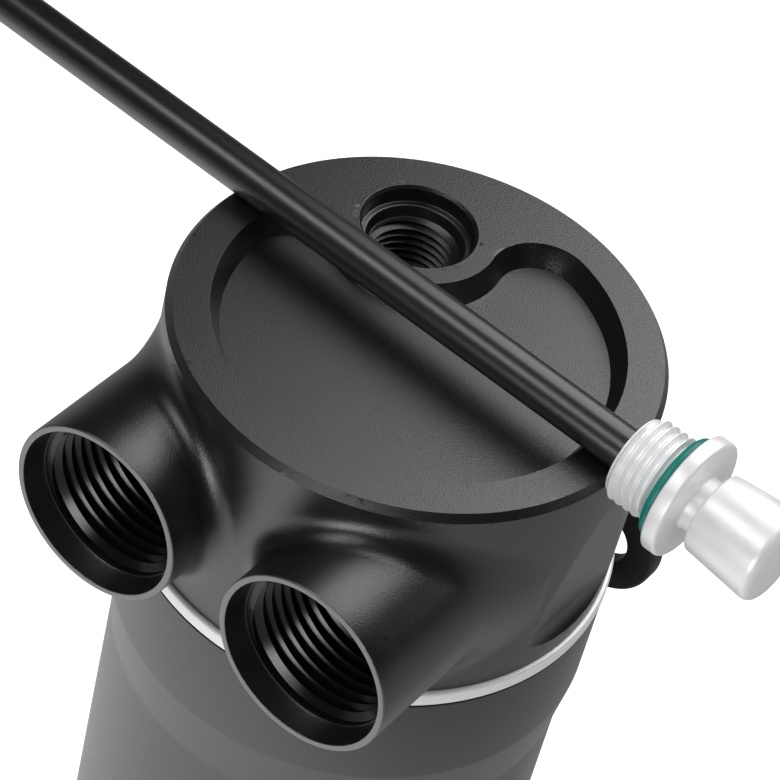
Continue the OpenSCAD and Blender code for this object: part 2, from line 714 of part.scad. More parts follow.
reservoir();
drain_plug();
drain_seal();
trim_ring();
head_gasket();
head();
spigot_seal();
dipstick_rod();
dipstick_plug();
dipstick_seal();
bracket();
upper_baffle();
lower_baffle();
mesh_pack();
down_tube();
for (i = [1:2]) bracket_bolt(i);
for (i = [1:2]) bracket_washer(i);
for (i = [1:3]) standoff(i);
for (i = [1:3]) baffle_screw(i);
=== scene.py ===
"""Looks of an oil catch can: a machined head with two hose ports, screwed onto a one-piece reservoir.

Sizes are in millimetres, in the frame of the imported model. Meshes are scaled to metres as they are made.
"""

import logging
import math
from dataclasses import dataclass, field
from enum import Enum
from typing import Callable, Sequence

import bmesh
import bpy
import numpy as np
from mathutils import Matrix, Vector


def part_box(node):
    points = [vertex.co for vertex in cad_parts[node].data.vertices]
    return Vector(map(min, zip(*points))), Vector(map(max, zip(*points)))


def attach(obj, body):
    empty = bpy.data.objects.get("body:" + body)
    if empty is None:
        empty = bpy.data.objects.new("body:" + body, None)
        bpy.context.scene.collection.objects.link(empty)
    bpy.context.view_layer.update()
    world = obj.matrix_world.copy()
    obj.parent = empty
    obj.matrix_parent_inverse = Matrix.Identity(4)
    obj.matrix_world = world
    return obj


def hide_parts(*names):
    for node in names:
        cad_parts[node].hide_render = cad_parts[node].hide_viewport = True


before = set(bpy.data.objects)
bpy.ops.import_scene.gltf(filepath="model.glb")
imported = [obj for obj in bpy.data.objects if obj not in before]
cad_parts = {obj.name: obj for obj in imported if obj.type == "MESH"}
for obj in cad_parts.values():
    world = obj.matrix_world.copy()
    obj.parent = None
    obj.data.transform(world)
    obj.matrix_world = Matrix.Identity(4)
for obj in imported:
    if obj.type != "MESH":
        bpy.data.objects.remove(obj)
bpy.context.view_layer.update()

MM = 0.001
log = logging.getLogger("catch_can")

Point = tuple[float, float]
Corner = tuple[float, float, float]
Colour = tuple[float, float, float]
Row = tuple[np.ndarray, np.ndarray]


class Body(Enum):
    """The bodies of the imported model."""

    RESERVOIR = "reservoir"
    LIFT_RING = "lift_ring"
    HEAD = "head"


class Slot(Enum):
    """Material slots of the record."""

    BLACK_ANODISED = "black_anodised"
    CLEAR_ANODISED = "clear_anodised"
    TEAL_SEAL = "teal_seal"
    BLACK_RUBBER = "black_rubber"
    BLACK_POWDER = "black_powder"
    STAINLESS = "stainless"
    WIRE_MESH = "wire_mesh"


def low_mm(node: str) -> Vector:
    """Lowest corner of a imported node, in millimetres."""
    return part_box(node)[0] / MM


def high_mm(node: str) -> Vector:
    """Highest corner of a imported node, in millimetres."""
    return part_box(node)[1] / MM


class Look(Enum):
    """Surfaces of the black anodised metal that aren't plainly blasted."""

    CUT = "cut_black_anodise"
    WORN = "worn_black_anodise"
    SATIN = "satin_black_anodise"


class Graph:
    """Adds nodes to a node tree, each with its values and links in one call.

    Args:
        tree: The node tree.
        keep: Whether the nodes that the tree starts with stay.
    """

    def __init__(self, tree: bpy.types.NodeTree, keep: bool = False) -> None:
        """Takes over a node tree."""
        self.nodes = tree.nodes
        self.links = tree.links
        if not keep:
            self.nodes.clear()

    def add(self, kind: str, *values: object, operation: str = "", **inputs: object) -> bpy.types.Node:
        """Adds a node.

        Args:
            kind: The node's type.
            values: Values or output sockets for the first inputs, in their order.
            operation: What a mathematical node does.
            inputs: Values or output sockets, by input name with spaces as underscores.

        Returns:
            The new node.
        """
        node = self.nodes.new(kind)
        if operation:
            node.operation = operation
        filled = [(node.inputs[place], value) for place, value in enumerate(values)]
        filled += [(node.inputs[name.replace("_", " ")], value) for name, value in inputs.items()]
        for socket, value in filled:
            if isinstance(value, bpy.types.NodeSocket):
                self.links.new(value, socket)
            else:
                socket.default_value = value
        return node


class NodeTree(Graph):
    """A material's node tree, with noise that is turned away from the flat faces.

    Args:
        name: Name of the material.
    """

    TURN = (0.5, 0.8, 1.1)

    def __init__(self, name: str) -> None:
        """Starts a material with one principled shader."""
        self.material = bpy.data.materials.new(name)
        self.material.use_nodes = True
        super().__init__(self.material.node_tree, keep=True)
        self.shader = self.nodes["Principled BSDF"]
        place = self.add("ShaderNodeTexCoord").outputs["Object"]
        self.place = self.add("ShaderNodeMapping", Vector=place, Rotation=self.TURN).outputs["Vector"]

    def noise(self, size: float, detail: float = 2.0) -> bpy.types.NodeSocket:
        """Noise with features of about the given size.

        Args:
            size: Size of a feature, in millimetres.
            detail: Octaves of finer noise.

        Returns:
            The noise's value.
        """
        node = self.add("ShaderNodeTexNoise", Vector=self.place, Scale=1 / (size * MM), Detail=detail)
        return node.outputs["Fac"]

    def remap(self, value: bpy.types.NodeSocket, low: float, high: float,
              start: float = 0.3, end: float = 0.7) -> bpy.types.NodeSocket:
        """Maps a value from start..end to low..high.

        Args:
            value: The socket to map.
            low: Result at start.
            high: Result at end.
            start: Value that gives low.
            end: Value that gives high.

        Returns:
            The mapped value.
        """
        node = self.add("ShaderNodeMapRange", Value=value, From_Min=start, From_Max=end,
                        To_Min=low, To_Max=high)
        return node.outputs["Result"]

    def tint(self, factor: bpy.types.NodeSocket, dark: Colour, light: Colour) -> None:
        """Colours the shader between two colours.

        Args:
            factor: 0 gives dark and 1 gives light.
            dark: Linear colour.
            light: Linear colour.
        """
        ramp = self.add("ShaderNodeValToRGB", Fac=factor)
        ramp.color_ramp.elements[0].color = (*dark, 1)
        ramp.color_ramp.elements[1].color = (*light, 1)
        self.links.new(ramp.outputs["Color"], self.shader.inputs["Base Color"])

    def bump(self, height: bpy.types.NodeSocket, depth: float) -> None:
        """Raises the surface by a height, whose depth is in millimetres."""
        node = self.add("ShaderNodeBump", Height=height, Distance=depth * MM)
        self.links.new(node.outputs["Normal"], self.shader.inputs["Normal"])

    def set(self, **values: float) -> None:
        """Sets uniform numbers on the shader's own sockets, by input name."""
        for name, value in values.items():
            self.shader.inputs[name].default_value = value

    def vary_roughness(self, value: bpy.types.NodeSocket, low: float, high: float) -> None:
        """Varies the roughness with a value."""
        self.links.new(self.remap(value, low, high), self.shader.inputs["Roughness"])


@dataclass(frozen=True)
class BlastedAnodise:
    """Bead-blasted aluminium, anodised black: a fine even grain with a satin sheen.

    Attributes:
        name: Name of the material.
        dark: Darkest colour.
        light: Lightest colour.
        grain: Size of the grain, in millimetres.
        grain_depth: Depth of the grain, in millimetres.
        roughness: Least and greatest roughness.
        ior: How strongly the surface mirrors.
    """

    name: str = "blasted_black_anodise"
    dark: Colour = (0.002, 0.002, 0.0021)
    light: Colour = (0.006, 0.006, 0.0062)
    grain: float = 0.17
    grain_depth: float = 0.036
    roughness: tuple[float, float] = (0.28, 0.36)
    ior: float = 1.9

    def material(self) -> bpy.types.Material:
        """Builds the finish.

        Returns:
            The material.
        """
        tree = NodeTree(self.name)
        grain = tree.noise(self.grain, detail=1.0)
        tree.tint(grain, self.dark, self.light)
        tree.vary_roughness(tree.noise(self.grain, detail=0.0), *self.roughness)
        tree.bump(grain, self.grain_depth)
        tree.set(IOR=self.ior)
        return tree.material


@dataclass(frozen=True)
class CloudedFinish:
    """A finish whose colour and roughness drift softly, over a grain.

    Attributes:
        name: Name of the material.
        dark: Darkest colour.
        light: Lightest colour.
        roughness: Least and greatest roughness.
        grain: Size of the grain, in millimetres.
        grain_depth: Depth of the grain, in millimetres.
        cloud: Size of the drift, in grains.
        metallic: Share of the look that is bare metal.
    """

    name: str
    dark: Colour
    light: Colour
    roughness: tuple[float, float]
    grain: float
    grain_depth: float
    cloud: float
    metallic: float = 0.0

    def material(self) -> bpy.types.Material:
        """Builds the finish.

        Returns:
            The material.
        """
        tree = NodeTree(self.name)
        cloud = tree.noise(self.grain * self.cloud)
        tree.tint(cloud, self.dark, self.light)
        tree.vary_roughness(cloud, *self.roughness)
        tree.bump(tree.noise(self.grain), self.grain_depth)
        tree.set(Metallic=self.metallic)
        return tree.material


@dataclass(frozen=True)
class TurnedAlloy(CloudedFinish):
    """Turned aluminium, clear anodised, with a faint grain."""

    name: str = "clear_anodised_alloy"
    dark: Colour = (0.80, 0.80, 0.81)
    light: Colour = (0.88, 0.88, 0.89)
    roughness: tuple[float, float] = (0.36, 0.46)
    grain: float = 0.35
    grain_depth: float = 0.004
    cloud: float = 8.0
    metallic: float = 0.5


@dataclass(frozen=True)
class MouldedRubber(CloudedFinish):
    """Smooth moulded rubber with a soft shine."""

    roughness: tuple[float, float] = (0.32, 0.42)
    grain: float = 0.4
    grain_depth: float = 0.006
    cloud: float = 6.0


@dataclass(frozen=True)
class PowderCoat(CloudedFinish):
    """Matt black powder coat with a fine orange-peel texture."""

    name: str = "black_powder_coat"
    dark: Colour = (0.008, 0.008, 0.008)
    light: Colour = (0.016, 0.016, 0.016)
    roughness: tuple[float, float] = (0.46, 0.6)
    grain: float = 0.6
    grain_depth: float = 0.02
    cloud: float = 1.0


@dataclass(frozen=True)
class PlainSteel(CloudedFinish):
    """Stainless steel with a light satin grain."""

    name: str = "stainless_steel"
    dark: Colour = (0.50, 0.49, 0.48)
    light: Colour = (0.62, 0.61, 0.60)
    roughness: tuple[float, float] = (0.26, 0.38)
    grain: float = 0.5
    grain_depth: float = 0.004
    cloud: float = 4.0
    metallic: float = 1.0


@dataclass(frozen=True)
class KnittedWire:
    """Packed knitted wire: bright strands over gaps painted dark as the shade deep in the pack.

    Attributes:
        name: Name of the material.
        dark: Colour painted into the gaps: painted shade where the pack is deep.
        light: Colour of the strands.
        strand: Distance between the strands, in millimetres.
        strand_edges: Distances from a cell's edge, in cells, at which a strand is full and has ended.
        depth: Depth of the gaps, in millimetres.
        roughness: Least and greatest roughness.
    """

    name: str = "knitted_wire"
    # Painted shade: the near-black colour of the gaps between the strands.
    dark: Colour = (0.02, 0.02, 0.02)
    light: Colour = (0.55, 0.54, 0.53)
    strand: float = 0.7
    strand_edges: tuple[float, float] = (0.06, 0.22)
    depth: float = 0.3
    roughness: tuple[float, float] = (0.3, 0.5)

    def material(self) -> bpy.types.Material:
        """Builds the finish.

        Returns:
            The material.
        """
        tree = NodeTree(self.name)
        cells = tree.add("ShaderNodeTexVoronoi", Vector=tree.place, Scale=1 / (self.strand * MM))
        cells.feature = "DISTANCE_TO_EDGE"
        full, ended = self.strand_edges
        strands = tree.remap(cells.outputs["Distance"], 1.0, 0.0, start=full, end=ended)
        # The gaps are tinted dark as painted shade inside the pack; the strands keep the steel's own colour.
        tree.tint(strands, self.dark, self.light)
        tree.vary_roughness(tree.noise(self.strand * 2), *self.roughness)
        tree.bump(strands, self.depth)
        tree.set(Metallic=1.0)
        return tree.material


class Finishes:
    """The finishes of all the material slots, each made once."""

    def __init__(self) -> None:
        """Builds every finish."""
        makers = {
            Slot.BLACK_ANODISED: BlastedAnodise(),
            Slot.CLEAR_ANODISED: TurnedAlloy(),
            Slot.TEAL_SEAL: MouldedRubber("teal_rubber", (0.0, 0.13, 0.105), (0.0, 0.17, 0.14)),
            Slot.BLACK_RUBBER: MouldedRubber("black_rubber", (0.008, 0.008, 0.008), (0.016, 0.016, 0.016)),
            Slot.BLACK_POWDER: PowderCoat(),
            Slot.STAINLESS: PlainSteel(),
            Slot.WIRE_MESH: KnittedWire(),
        }
        self.made = {slot: maker.material() for slot, maker in makers.items()}
        blacks = {
            Look.CUT: BlastedAnodise(Look.CUT.value, grain_depth=0.002, roughness=(0.16, 0.22), ior=1.5),
            Look.WORN: BlastedAnodise(Look.WORN.value, roughness=(0.3, 0.36), ior=2.7),
            Look.SATIN: BlastedAnodise(Look.SATIN.value, grain_depth=0.005),
        }
        self.blacks = {look: maker.material() for look, maker in blacks.items()}

    def dress(self, piece: bpy.types.Object, slot: Slot) -> None:
        """Gives a piece the finish of a slot.

        Args:
            piece: The piece.
            slot: Its material slot.
        """
        piece.data.materials.clear()
        piece.data.materials.append(self.made[slot])

    def redress(self, piece: bpy.types.Object, look: Look) -> bpy.types.Object:
        """Gives a black piece another look of the same slot.

        Args:
            piece: The piece.
            look: Its look.

        Returns:
            The same piece.
        """
        piece.data.materials[0] = self.blacks[look]
        return piece

    def dress_lip(self, mouth: bpy.types.Object, end_y: float) -> bpy.types.Object:
        """Gives the end face of a port the greyer black of an edge that is handled.

        Args:
            mouth: The port's mouth.
            end_y: Faces before this place, in millimetres, are the end face.

        Returns:
            The same mouth.
        """
        mouth.data.materials.append(self.blacks[Look.WORN])
        for face in mouth.data.polygons:
            if face.center.y < end_y * MM:
                face.material_index = 1
        return mouth

    def dress_node(self, node: str, slot: Slot) -> None:
        """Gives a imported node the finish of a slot, through its object's own material slots.

        Args:
            node: Name of the node.
            slot: Its material slot.
        """
        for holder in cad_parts[node].material_slots:
            holder.material = self.made[slot]


def finish_piece(piece: bpy.types.Object, finishes: Finishes, slot: Slot, body: Body,
                 stands_for: Sequence[str] = ()) -> bpy.types.Object:
    """Dresses a piece, lets it ride on its body and hides the nodes that it stands for.

    Args:
        piece: The piece, in place.
        finishes: The finishes.
        slot: Material slot of the piece.
        body: Body that it rides on.
        stands_for: Nodes that it replaces.

    Returns:
        The same piece.
    """
    finishes.dress(piece, slot)
    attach(piece, body.value)
    if stands_for:
        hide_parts(*stands_for)
    log.info("%s: %d faces", piece.name, len(piece.data.polygons))
    return piece


@dataclass(frozen=True)
class Thread:
    """One screw thread on a turned surface.

    Attributes:
        start: Place along the axis where it begins.
        length: Length along the axis.
        pitch: Distance from crest to crest.
        crest: Radius of the crests.
        root: Radius of the roots.
        crest_share: Part of the pitch that the crest's flat takes.
        root_share: Part of the pitch that the root's flat takes.
        lead: Depth that the thread gains for each millimetre from its ends.
    """

    start: float
    length: float
    pitch: float
    crest: float
    root: float
    crest_share: float = 0.14
    root_share: float = 0.2
    lead: float = 1.0

    def rows(self, turn: np.ndarray) -> list[Row]:
        """Rows of the thread.

        Args:
            turn: Turn at each column, from 0 to 1.

        Returns:
            One pair of places along the axis and radii for each row.
        """
        flank = (1 - self.crest_share - self.root_share) / 2
        shape = (
            (0.0, self.root), (self.root_share, self.root),
            (self.root_share + flank, self.crest), (1 - flank, self.crest))
        end = self.start + self.length
        rows = [(np.full_like(turn, self.start), np.full_like(turn, self.root))]
        for count in range(-1, math.ceil(self.length / self.pitch) + 1):
            for phase, radius in shape:
                place = np.clip(self.start + self.pitch * (count + phase + turn), self.start, end)
                room = np.minimum(place - self.start, end - place)
                reach = np.minimum(abs(radius - self.root), room * self.lead)
                rows.append((place, self.root + np.sign(self.crest - self.root) * reach))
        rows.append((np.full_like(turn, end), np.full_like(turn, self.root)))
        return rows


@dataclass
class Turned:
    """A part turned about one axis: rows of points that are swept once round.

    Attributes:
        name: Name of the piece.
        columns: Number of faces round the axis.
        sharp: Edges that turn by more than this many degrees stay sharp.
        rows: Places along the axis and radii at each column, one pair for each row.
    """

    WELD = 0.0008

    name: str
    columns: int = 192
    sharp: float = 26.0
    rows: list[Row] = field(default_factory=list)

    @property
    def turn(self) -> np.ndarray:
        """Turn at each column, from 0 to 1, with both ends."""
        return np.linspace(0, 1, self.columns + 1)

    def through(self, *points: Point) -> "Turned":
        """Adds plain rings.

        Args:
            points: Pairs of a place along the axis and a radius.

        Returns:
            The same part.
        """
        for place, radius in points:
            self.rows.append((np.full_like(self.turn, place), np.full_like(self.turn, radius)))
        return self

    def round(self, corner: Point, before: Point, after: Point, radius: float, steps: int = 5) -> "Turned":
        """Adds a rounded corner.

        Args:
            corner: The sharp corner.
            before: A point on the side that leads to it.
            after: A point on the side that leaves it.
            radius: Radius of the rounding.
            steps: Number of faces in it.

        Returns:
            The same part.
        """
        tip = np.array(corner)
        way_in = np.array(before) - tip
        way_out = np.array(after) - tip
        way_in /= np.linalg.norm(way_in)
        way_out /= np.linalg.norm(way_out)
        half = math.acos(float(np.clip(way_in @ way_out, -1, 1))) / 2
        middle = (way_in + way_out) / np.linalg.norm(way_in + way_out)
        centre = tip + middle * radius / math.sin(half)
        first = tip + way_in * radius / math.tan(half) - centre
        last = tip + way_out * radius / math.tan(half) - centre
        sweep = math.pi - 2 * half
        for step in range(steps + 1):
            share = sweep * step / steps
            point = centre + (first * math.sin(sweep - share) + last * math.sin(share)) / math.sin(sweep)
            self.through((float(point[0]), float(point[1])))
        return self

    def outline(self, *corners: Corner) -> "Turned":
        """Adds a chain of corners, each with its own rounding.

        Args:
            corners: Place along the axis, radius and rounding of each corner; the first and last stay sharp.

        Returns:
            The same part.
        """
        last = len(corners) - 1
        for index, (place, radius, rounding) in enumerate(corners):
            if rounding and 0 < index < last:
                self.round((place, radius), corners[index - 1][:2], corners[index + 1][:2], rounding)
            else:
                self.through((place, radius))
        return self

    def threaded(self, thread: Thread) -> "Turned":
        """Adds a thread's rows."""
        self.rows.extend(thread.rows(self.turn))
        return self

    def make(self, place: Matrix, closed: bool = False) -> bpy.types.Object:
        """Builds the mesh.

        Args:
            place: Turns the part's own frame, with the axis along +Z, into the model's frame.
            closed: Joins the last row to the first.

        Returns:
            The new object.
        """
        along = np.array([row[0] for row in self.rows])
        radius = np.array([row[1] for row in self.rows])
        angle = 2 * math.pi * self.turn
        points = np.stack([radius * np.cos(angle), radius * np.sin(angle), along], axis=-1)
        count, width = along.shape
        ends = count if closed else count - 1
        first = np.arange(ends)[:, None] * width + np.arange(width - 1)
        other = (np.arange(ends)[:, None] + 1) % count * width + np.arange(width - 1)
        quads = np.stack([first, first + 1, other + 1, other], axis=-1).reshape(-1, 4)
        mesh = bpy.data.meshes.new(self.name)
        mesh.from_pydata(points.reshape(-1, 3).tolist(), [], quads.tolist())
        piece = bpy.data.objects.new(self.name, mesh)
        bpy.context.scene.collection.objects.link(piece)
        weld(mesh, self.WELD)
        mesh.transform(Matrix.Scale(MM, 4) @ place)
        smooth(mesh, self.sharp)
        return piece


def weld(mesh: bpy.types.Mesh, distance: float) -> None:
    """Joins points that coincide and turns all faces outwards.

    Args:
        mesh: The mesh.
        distance: Points closer than this are one.
    """
    work = bmesh.new()
    work.from_mesh(mesh)
    bmesh.ops.remove_doubles(work, verts=work.verts, dist=distance)
    bmesh.ops.dissolve_degenerate(work, edges=work.edges, dist=distance / 2)
    bmesh.ops.recalc_face_normals(work, faces=work.faces)
    work.to_mesh(mesh)
    work.free()


def smooth(mesh: bpy.types.Mesh, sharp: float) -> None:
    """Shades a mesh smooth, with sharp edges where faces meet at more than an angle in degrees."""
    mesh.polygons.foreach_set("use_smooth", [True] * len(mesh.polygons))
    mesh.set_sharp_from_angle(angle=math.radians(sharp))


def round_join(a: np.ndarray, b: np.ndarray, radius: float) -> np.ndarray:
    """Field of two solids joined with a fillet.

    Args:
        a: Field of the first solid, below zero inside.
        b: Field of the second solid.
        radius: Radius of the fillet.

    Returns:
        The joined field.
    """
    return np.maximum(radius, np.minimum(a, b)) - np.hypot(
        np.maximum(radius - a, 0), np.maximum(radius - b, 0))


def round_common(a: np.ndarray, b: np.ndarray, radius: float) -> np.ndarray:
    """Field of what two solids share, with a rounded edge.

    Args:
        a: Field of the first solid, below zero inside.
        b: Field of the second solid.
        radius: Radius of the edge.

    Returns:
        The common field.
    """
    return np.minimum(-radius, np.maximum(a, b)) + np.hypot(
        np.maximum(radius + a, 0), np.maximum(radius + b, 0))


@dataclass
class Contour:
    """Turns a solid given by a field into a mesh with true edges and true normals.

    The mesh has one point in each cell that the surface crosses, set where the surface's
    tangent planes in that cell meet, so that edges stay sharp.

    Attributes:
        name: Name of the piece.
        solid: The field, below zero inside, of points in an array whose last axis is x, y, z.
        low: Lowest corner of the lattice.
        high: Highest corner of the lattice.
        cell: Size of a cell.
        crease: Normals that differ by more than this many degrees are an edge.
    """

    SLABS = 8
    HALVINGS = 12
    FLAT_SHARE = 0.06
    BESIDE_SHARE = 0.25
    TINY = 1e-9

    name: str
    solid: Callable[[np.ndarray], np.ndarray]
    low: Corner
    high: Corner
    cell: float = 0.55
    crease: float = 14.0

    def normals(self, points: np.ndarray, step: float = 0.01) -> np.ndarray:
        """Unit gradients of the field.

        Args:
            points: Points, one in each row.
            step: Half of the distance over which the field's change is measured.

        Returns:
            One unit vector for each point.
        """
        parts = []
        for axis in range(3):
            shift = np.zeros(3)
            shift[axis] = step
            parts.append(self.solid(points + shift) - self.solid(points - shift))
        gradient = np.stack(parts, axis=-1)
        return gradient / np.maximum(np.linalg.norm(gradient, axis=-1, keepdims=True), self.TINY)

    def crossing(self, start: np.ndarray, end: np.ndarray) -> np.ndarray:
        """Where lattice edges cross the surface.

        Args:
            start: Points inside or outside the solid.
            end: Points on its other side.

        Returns:
            One point on the surface for each edge.
        """
        inside = self.solid(start) < 0
        low = np.zeros(len(start))
        high = np.ones(len(start))
        for _ in range(self.HALVINGS):
            middle = (low + high) / 2
            same = (self.solid(start + (end - start) * middle[:, None]) < 0) == inside
            low = np.where(same, middle, low)
            high = np.where(same, high, middle)
        return start + (end - start) * ((low + high) / 2)[:, None]

    def make(self) -> bpy.types.Object:
        """Builds the mesh.

        Returns:
            The new object.
        """
        ticks = [np.arange(a, b + self.cell, self.cell) for a, b in zip(self.low, self.high)]
        shape = np.array([len(t) for t in ticks])
        lattice = np.stack(np.meshgrid(*ticks, indexing="ij"), axis=-1)
        slabs = np.array_split(lattice, self.SLABS)
        inside = np.concatenate([self.solid(slab) < 0 for slab in slabs])
        strides = np.array([shape[1] * shape[2], shape[2], 1])
        hits, quads = [], []
        for axis in range(3):
            near = np.take(inside, range(shape[axis] - 1), axis=axis)
            far = np.take(inside, range(1, shape[axis]), axis=axis)
            where = np.argwhere(near != far)
            side, up = (axis + 1) % 3, (axis + 2) % 3
            home = where @ strides
            ring = np.stack([home - strides[side] - strides[up], home - strides[up],
                             home, home - strides[side]], axis=-1)
            leaving = near[tuple(where.T)]
            quads.append(np.where(leaving[:, None], ring, ring[:, ::-1]))
            start = lattice[tuple(where.T)]
            end = start.copy()
            end[:, axis] += self.cell
            hits.append(self.crossing(start, end))
        hits = np.concatenate(hits)
        quads = np.concatenate(quads)
        cells, corners = np.unique(quads, return_inverse=True)
        corners = corners.reshape(quads.shape)
        points = self.settle(hits, corners, cells, ticks, strides)
        return self.mesh(points, corners)

    def settle(self, hits: np.ndarray, corners: np.ndarray, cells: np.ndarray,
               ticks: Sequence[np.ndarray], strides: np.ndarray) -> np.ndarray:
        """Sets one point in each cell where the surface's tangent planes meet.

        Args:
            hits: Where lattice edges cross the surface.
            corners: The four cells round each crossed edge, by their order.
            cells: Number of each cell in the lattice.
            ticks: Places of the lattice planes along each axis.
            strides: Steps between the cell numbers along each axis.

        Returns:
            One point for each cell.
        """
        facing = self.normals(hits)
        owner = corners.ravel()
        count = np.bincount(owner)
        spread = np.repeat(np.arange(len(hits)), 4)

        def total(values: np.ndarray) -> np.ndarray:
            """Sums values of the hits over each cell."""
            return np.bincount(owner, weights=values[spread], minlength=len(cells))

        middle = np.stack([total(hits[:, i]) for i in range(3)], axis=-1) / count[:, None]
        level = np.einsum("ij,ij->i", facing, hits)
        left = np.empty((len(cells), 3, 3))
        right = np.empty((len(cells), 3))
        for i in range(3):
            right[:, i] = total(facing[:, i] * level)
            for j in range(3):
                left[:, i, j] = total(facing[:, i] * facing[:, j])
        right -= np.einsum("nij,nj->ni", left, middle)
        values, vectors = np.linalg.eigh(left)
        flat = values <= self.FLAT_SHARE * values[:, -1:]
        kept = np.where(flat, 0, 1 / np.maximum(values, self.TINY))
        shift = np.einsum("nij,nj,nkj,nk->ni", vectors, kept, vectors, right)
        points = middle + shift
        index = np.stack([cells // strides[0], cells % strides[0] // strides[1], cells % strides[1]], axis=-1)
        floor = np.stack([ticks[i][index[:, i]] for i in range(3)], axis=-1)
        return self.pull(np.clip(points, floor, floor + self.cell))

    def pull(self, points: np.ndarray, slack: float = 0.02, rounds: int = 3) -> np.ndarray:
        """Pulls points that stand off the surface back onto it.

        Args:
            points: The points.
            slack: Distance from the surface that is left as it is.
            rounds: Number of steps.

        Returns:
            The points on the surface.
        """
        for _ in range(rounds):
            off = self.solid(points)
            points = points - np.where(abs(off) > slack, off, 0)[:, None] * self.normals(points)
        return points

    def mesh(self, points: np.ndarray, quads: np.ndarray) -> bpy.types.Object:
        """Makes the object, with the field's own normals.

        Args:
            points: Points of the mesh.
            quads: Four points for each face.

        Returns:
            The new object.
        """
        mesh = bpy.data.meshes.new(self.name)
        mesh.from_pydata((points * MM).tolist(), [], quads.tolist())
        corner = points[quads]
        inward = corner.mean(axis=1, keepdims=True) - corner
        inward /= np.maximum(np.linalg.norm(inward, axis=-1, keepdims=True), self.TINY)
        beside = self.normals((corner + inward * self.cell * self.BESIDE_SHARE).reshape(-1, 3))
        shared = self.normals(points)[quads.ravel()]
        near = np.einsum("ij,ij->i", beside, shared) > math.cos(math.radians(self.crease))
        normals = np.where(near[:, None], shared, beside)
        mesh.polygons.foreach_set("use_smooth", [True] * len(mesh.polygons))
        mesh.normals_split_custom_set(normals.tolist())
        piece = bpy.data.objects.new(self.name, mesh)
        bpy.context.scene.collection.objects.link(piece)
        return piece


@dataclass
class HeadSizes:
    """Sizes of the machined head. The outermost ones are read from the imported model."""

    shoulder: float = field(default_factory=lambda: high_mm("trim_ring").z)
    spigot_end: float = field(default_factory=lambda: low_mm("head").z)
    wall_r: float = field(default_factory=lambda: high_mm("head").x)
    reach: float = field(default_factory=lambda: -low_mm("head").y)
    pad_y: float = field(default_factory=lambda: high_mm("head").y)
    body_h: float = 33.4
    chamfer_w: float = 0.75
    chamfer_h: float = 1.1
    rim_w: float = 4.9
    pocket_depth: float = 3.1
    pocket_draft: float = 1.6
    pocket_corner: float = 7.1
    land_w: float = 3.25
    roof_t: float = 4.4
    hole: Point = (-11.6, 14.9)
    hole_mouth_r: float = 7.6
    hole_mouth_depth: float = 2.6
    hole_mouth_edge: float = 0.15
    hole_mouth_corner: float = 0.25
    hole_lip_w: float = 0.4
    hole_lip_depth: float = 0.45
    hole_lip_edge: float = 0.1
    hole_seat_r: float = 6.7
    hole_seat_low_r: float = 6.25
    hole_seat_end: float = 4.2
    hole_seat_edge: float = 0.3
    hole_seat_land: float = 0.1
    hole_pitch: float = 1.25
    hole_crest_r: float = 5.35
    hole_root_r: float = 6.1
    hole_run_out: float = 0.6
    hole_end_w: float = 0.4
    hole_boss_len: float = 12.5
    hole_boss_wall: float = 2.0
    hole_liner_r: float = 8.3
    port_r: float = 12.75
    port_gap: float = 7.9
    port_cover: float = 5.65
    port_outer_edge: float = 0.22
    port_inner_edge: float = 0.12
    port_seat_r: float = 11.85
    port_seat_depth: float = 3.4
    port_seat_taper: float = 0.4
    port_seat_corner: Point = (0.3, 0.15)
    port_step: float = 0.3
    port_thread_len: float = 13.0
    port_pitch: float = 1.814
    port_crest_r: float = 10.15
    port_root_r: float = 11.1
    port_run_out: float = 0.85
    port_passage_r: float = 9.0
    port_blend: float = 3.2
    valley_blend: float = 5.0
    port_root_y: float = -12.0
    outlet_end_y: float = -14.0
    inlet_end_y: float = -7.3
    flat_top_drop: float = 8.0
    flat_margin: float = 1.8
    flat_depth: float = 1.6
    flat_corner: float = 4.0
    pad_w: float = 28.0
    pad_h: float = 16.0
    pad_root: float = 6.0
    pad_blend: float = 0.8
    bolt_spacing: float = 16.0
    bolt_drop: float = 4.0
    bolt_bore_r: float = 3.0
    bolt_bore_depth: float = 7.5
    spigot_r: float = 28.9
    spigot_outer_edge: float = 0.6
    spigot_inner_edge: float = 0.4
    spigot_pitch: float = 2.0
    spigot_thread_depth: float = 1.05
    spigot_lead: float = 0.6
    spigot_lead_edge: float = 0.1
    spigot_relief: float = 1.2
    groove_place: float = 2.2
    groove_w: float = 2.0
    groove_r: float = 27.05
    groove_edge: float = 0.15
    groove_corner: float = 0.2
    groove_land: float = 1.2
    chamber_r: float = 25.5
    down: Point = (-14.0, -12.0)
    down_bore_r: float = 6.03
    block_side: Point = (-6.0, -4.3)
    block_corner: float = 4.0
    block_rise: float = 6.0

    @property
    def top(self) -> float:
        """Height of the top face."""
        return self.shoulder + self.body_h

    @property
    def face_r(self) -> float:
        """Radius of the flat top face."""
        return self.wall_r - self.chamfer_w

    @property
    def port_x(self) -> float:
        """Distance of a port's axis from the middle plane."""
        return self.port_r + self.port_gap / 2

    @property
    def port_z(self) -> float:
        """Height of the ports' axes."""
        return self.top - self.port_cover - self.port_r

    @property
    def bolt_z(self) -> float:
        """Height of the bracket's screws."""
        return self.port_z - self.bolt_drop

    @property
    def roof(self) -> float:
        """Height of the chamber's roof."""
        return self.top - self.pocket_depth - self.roof_t


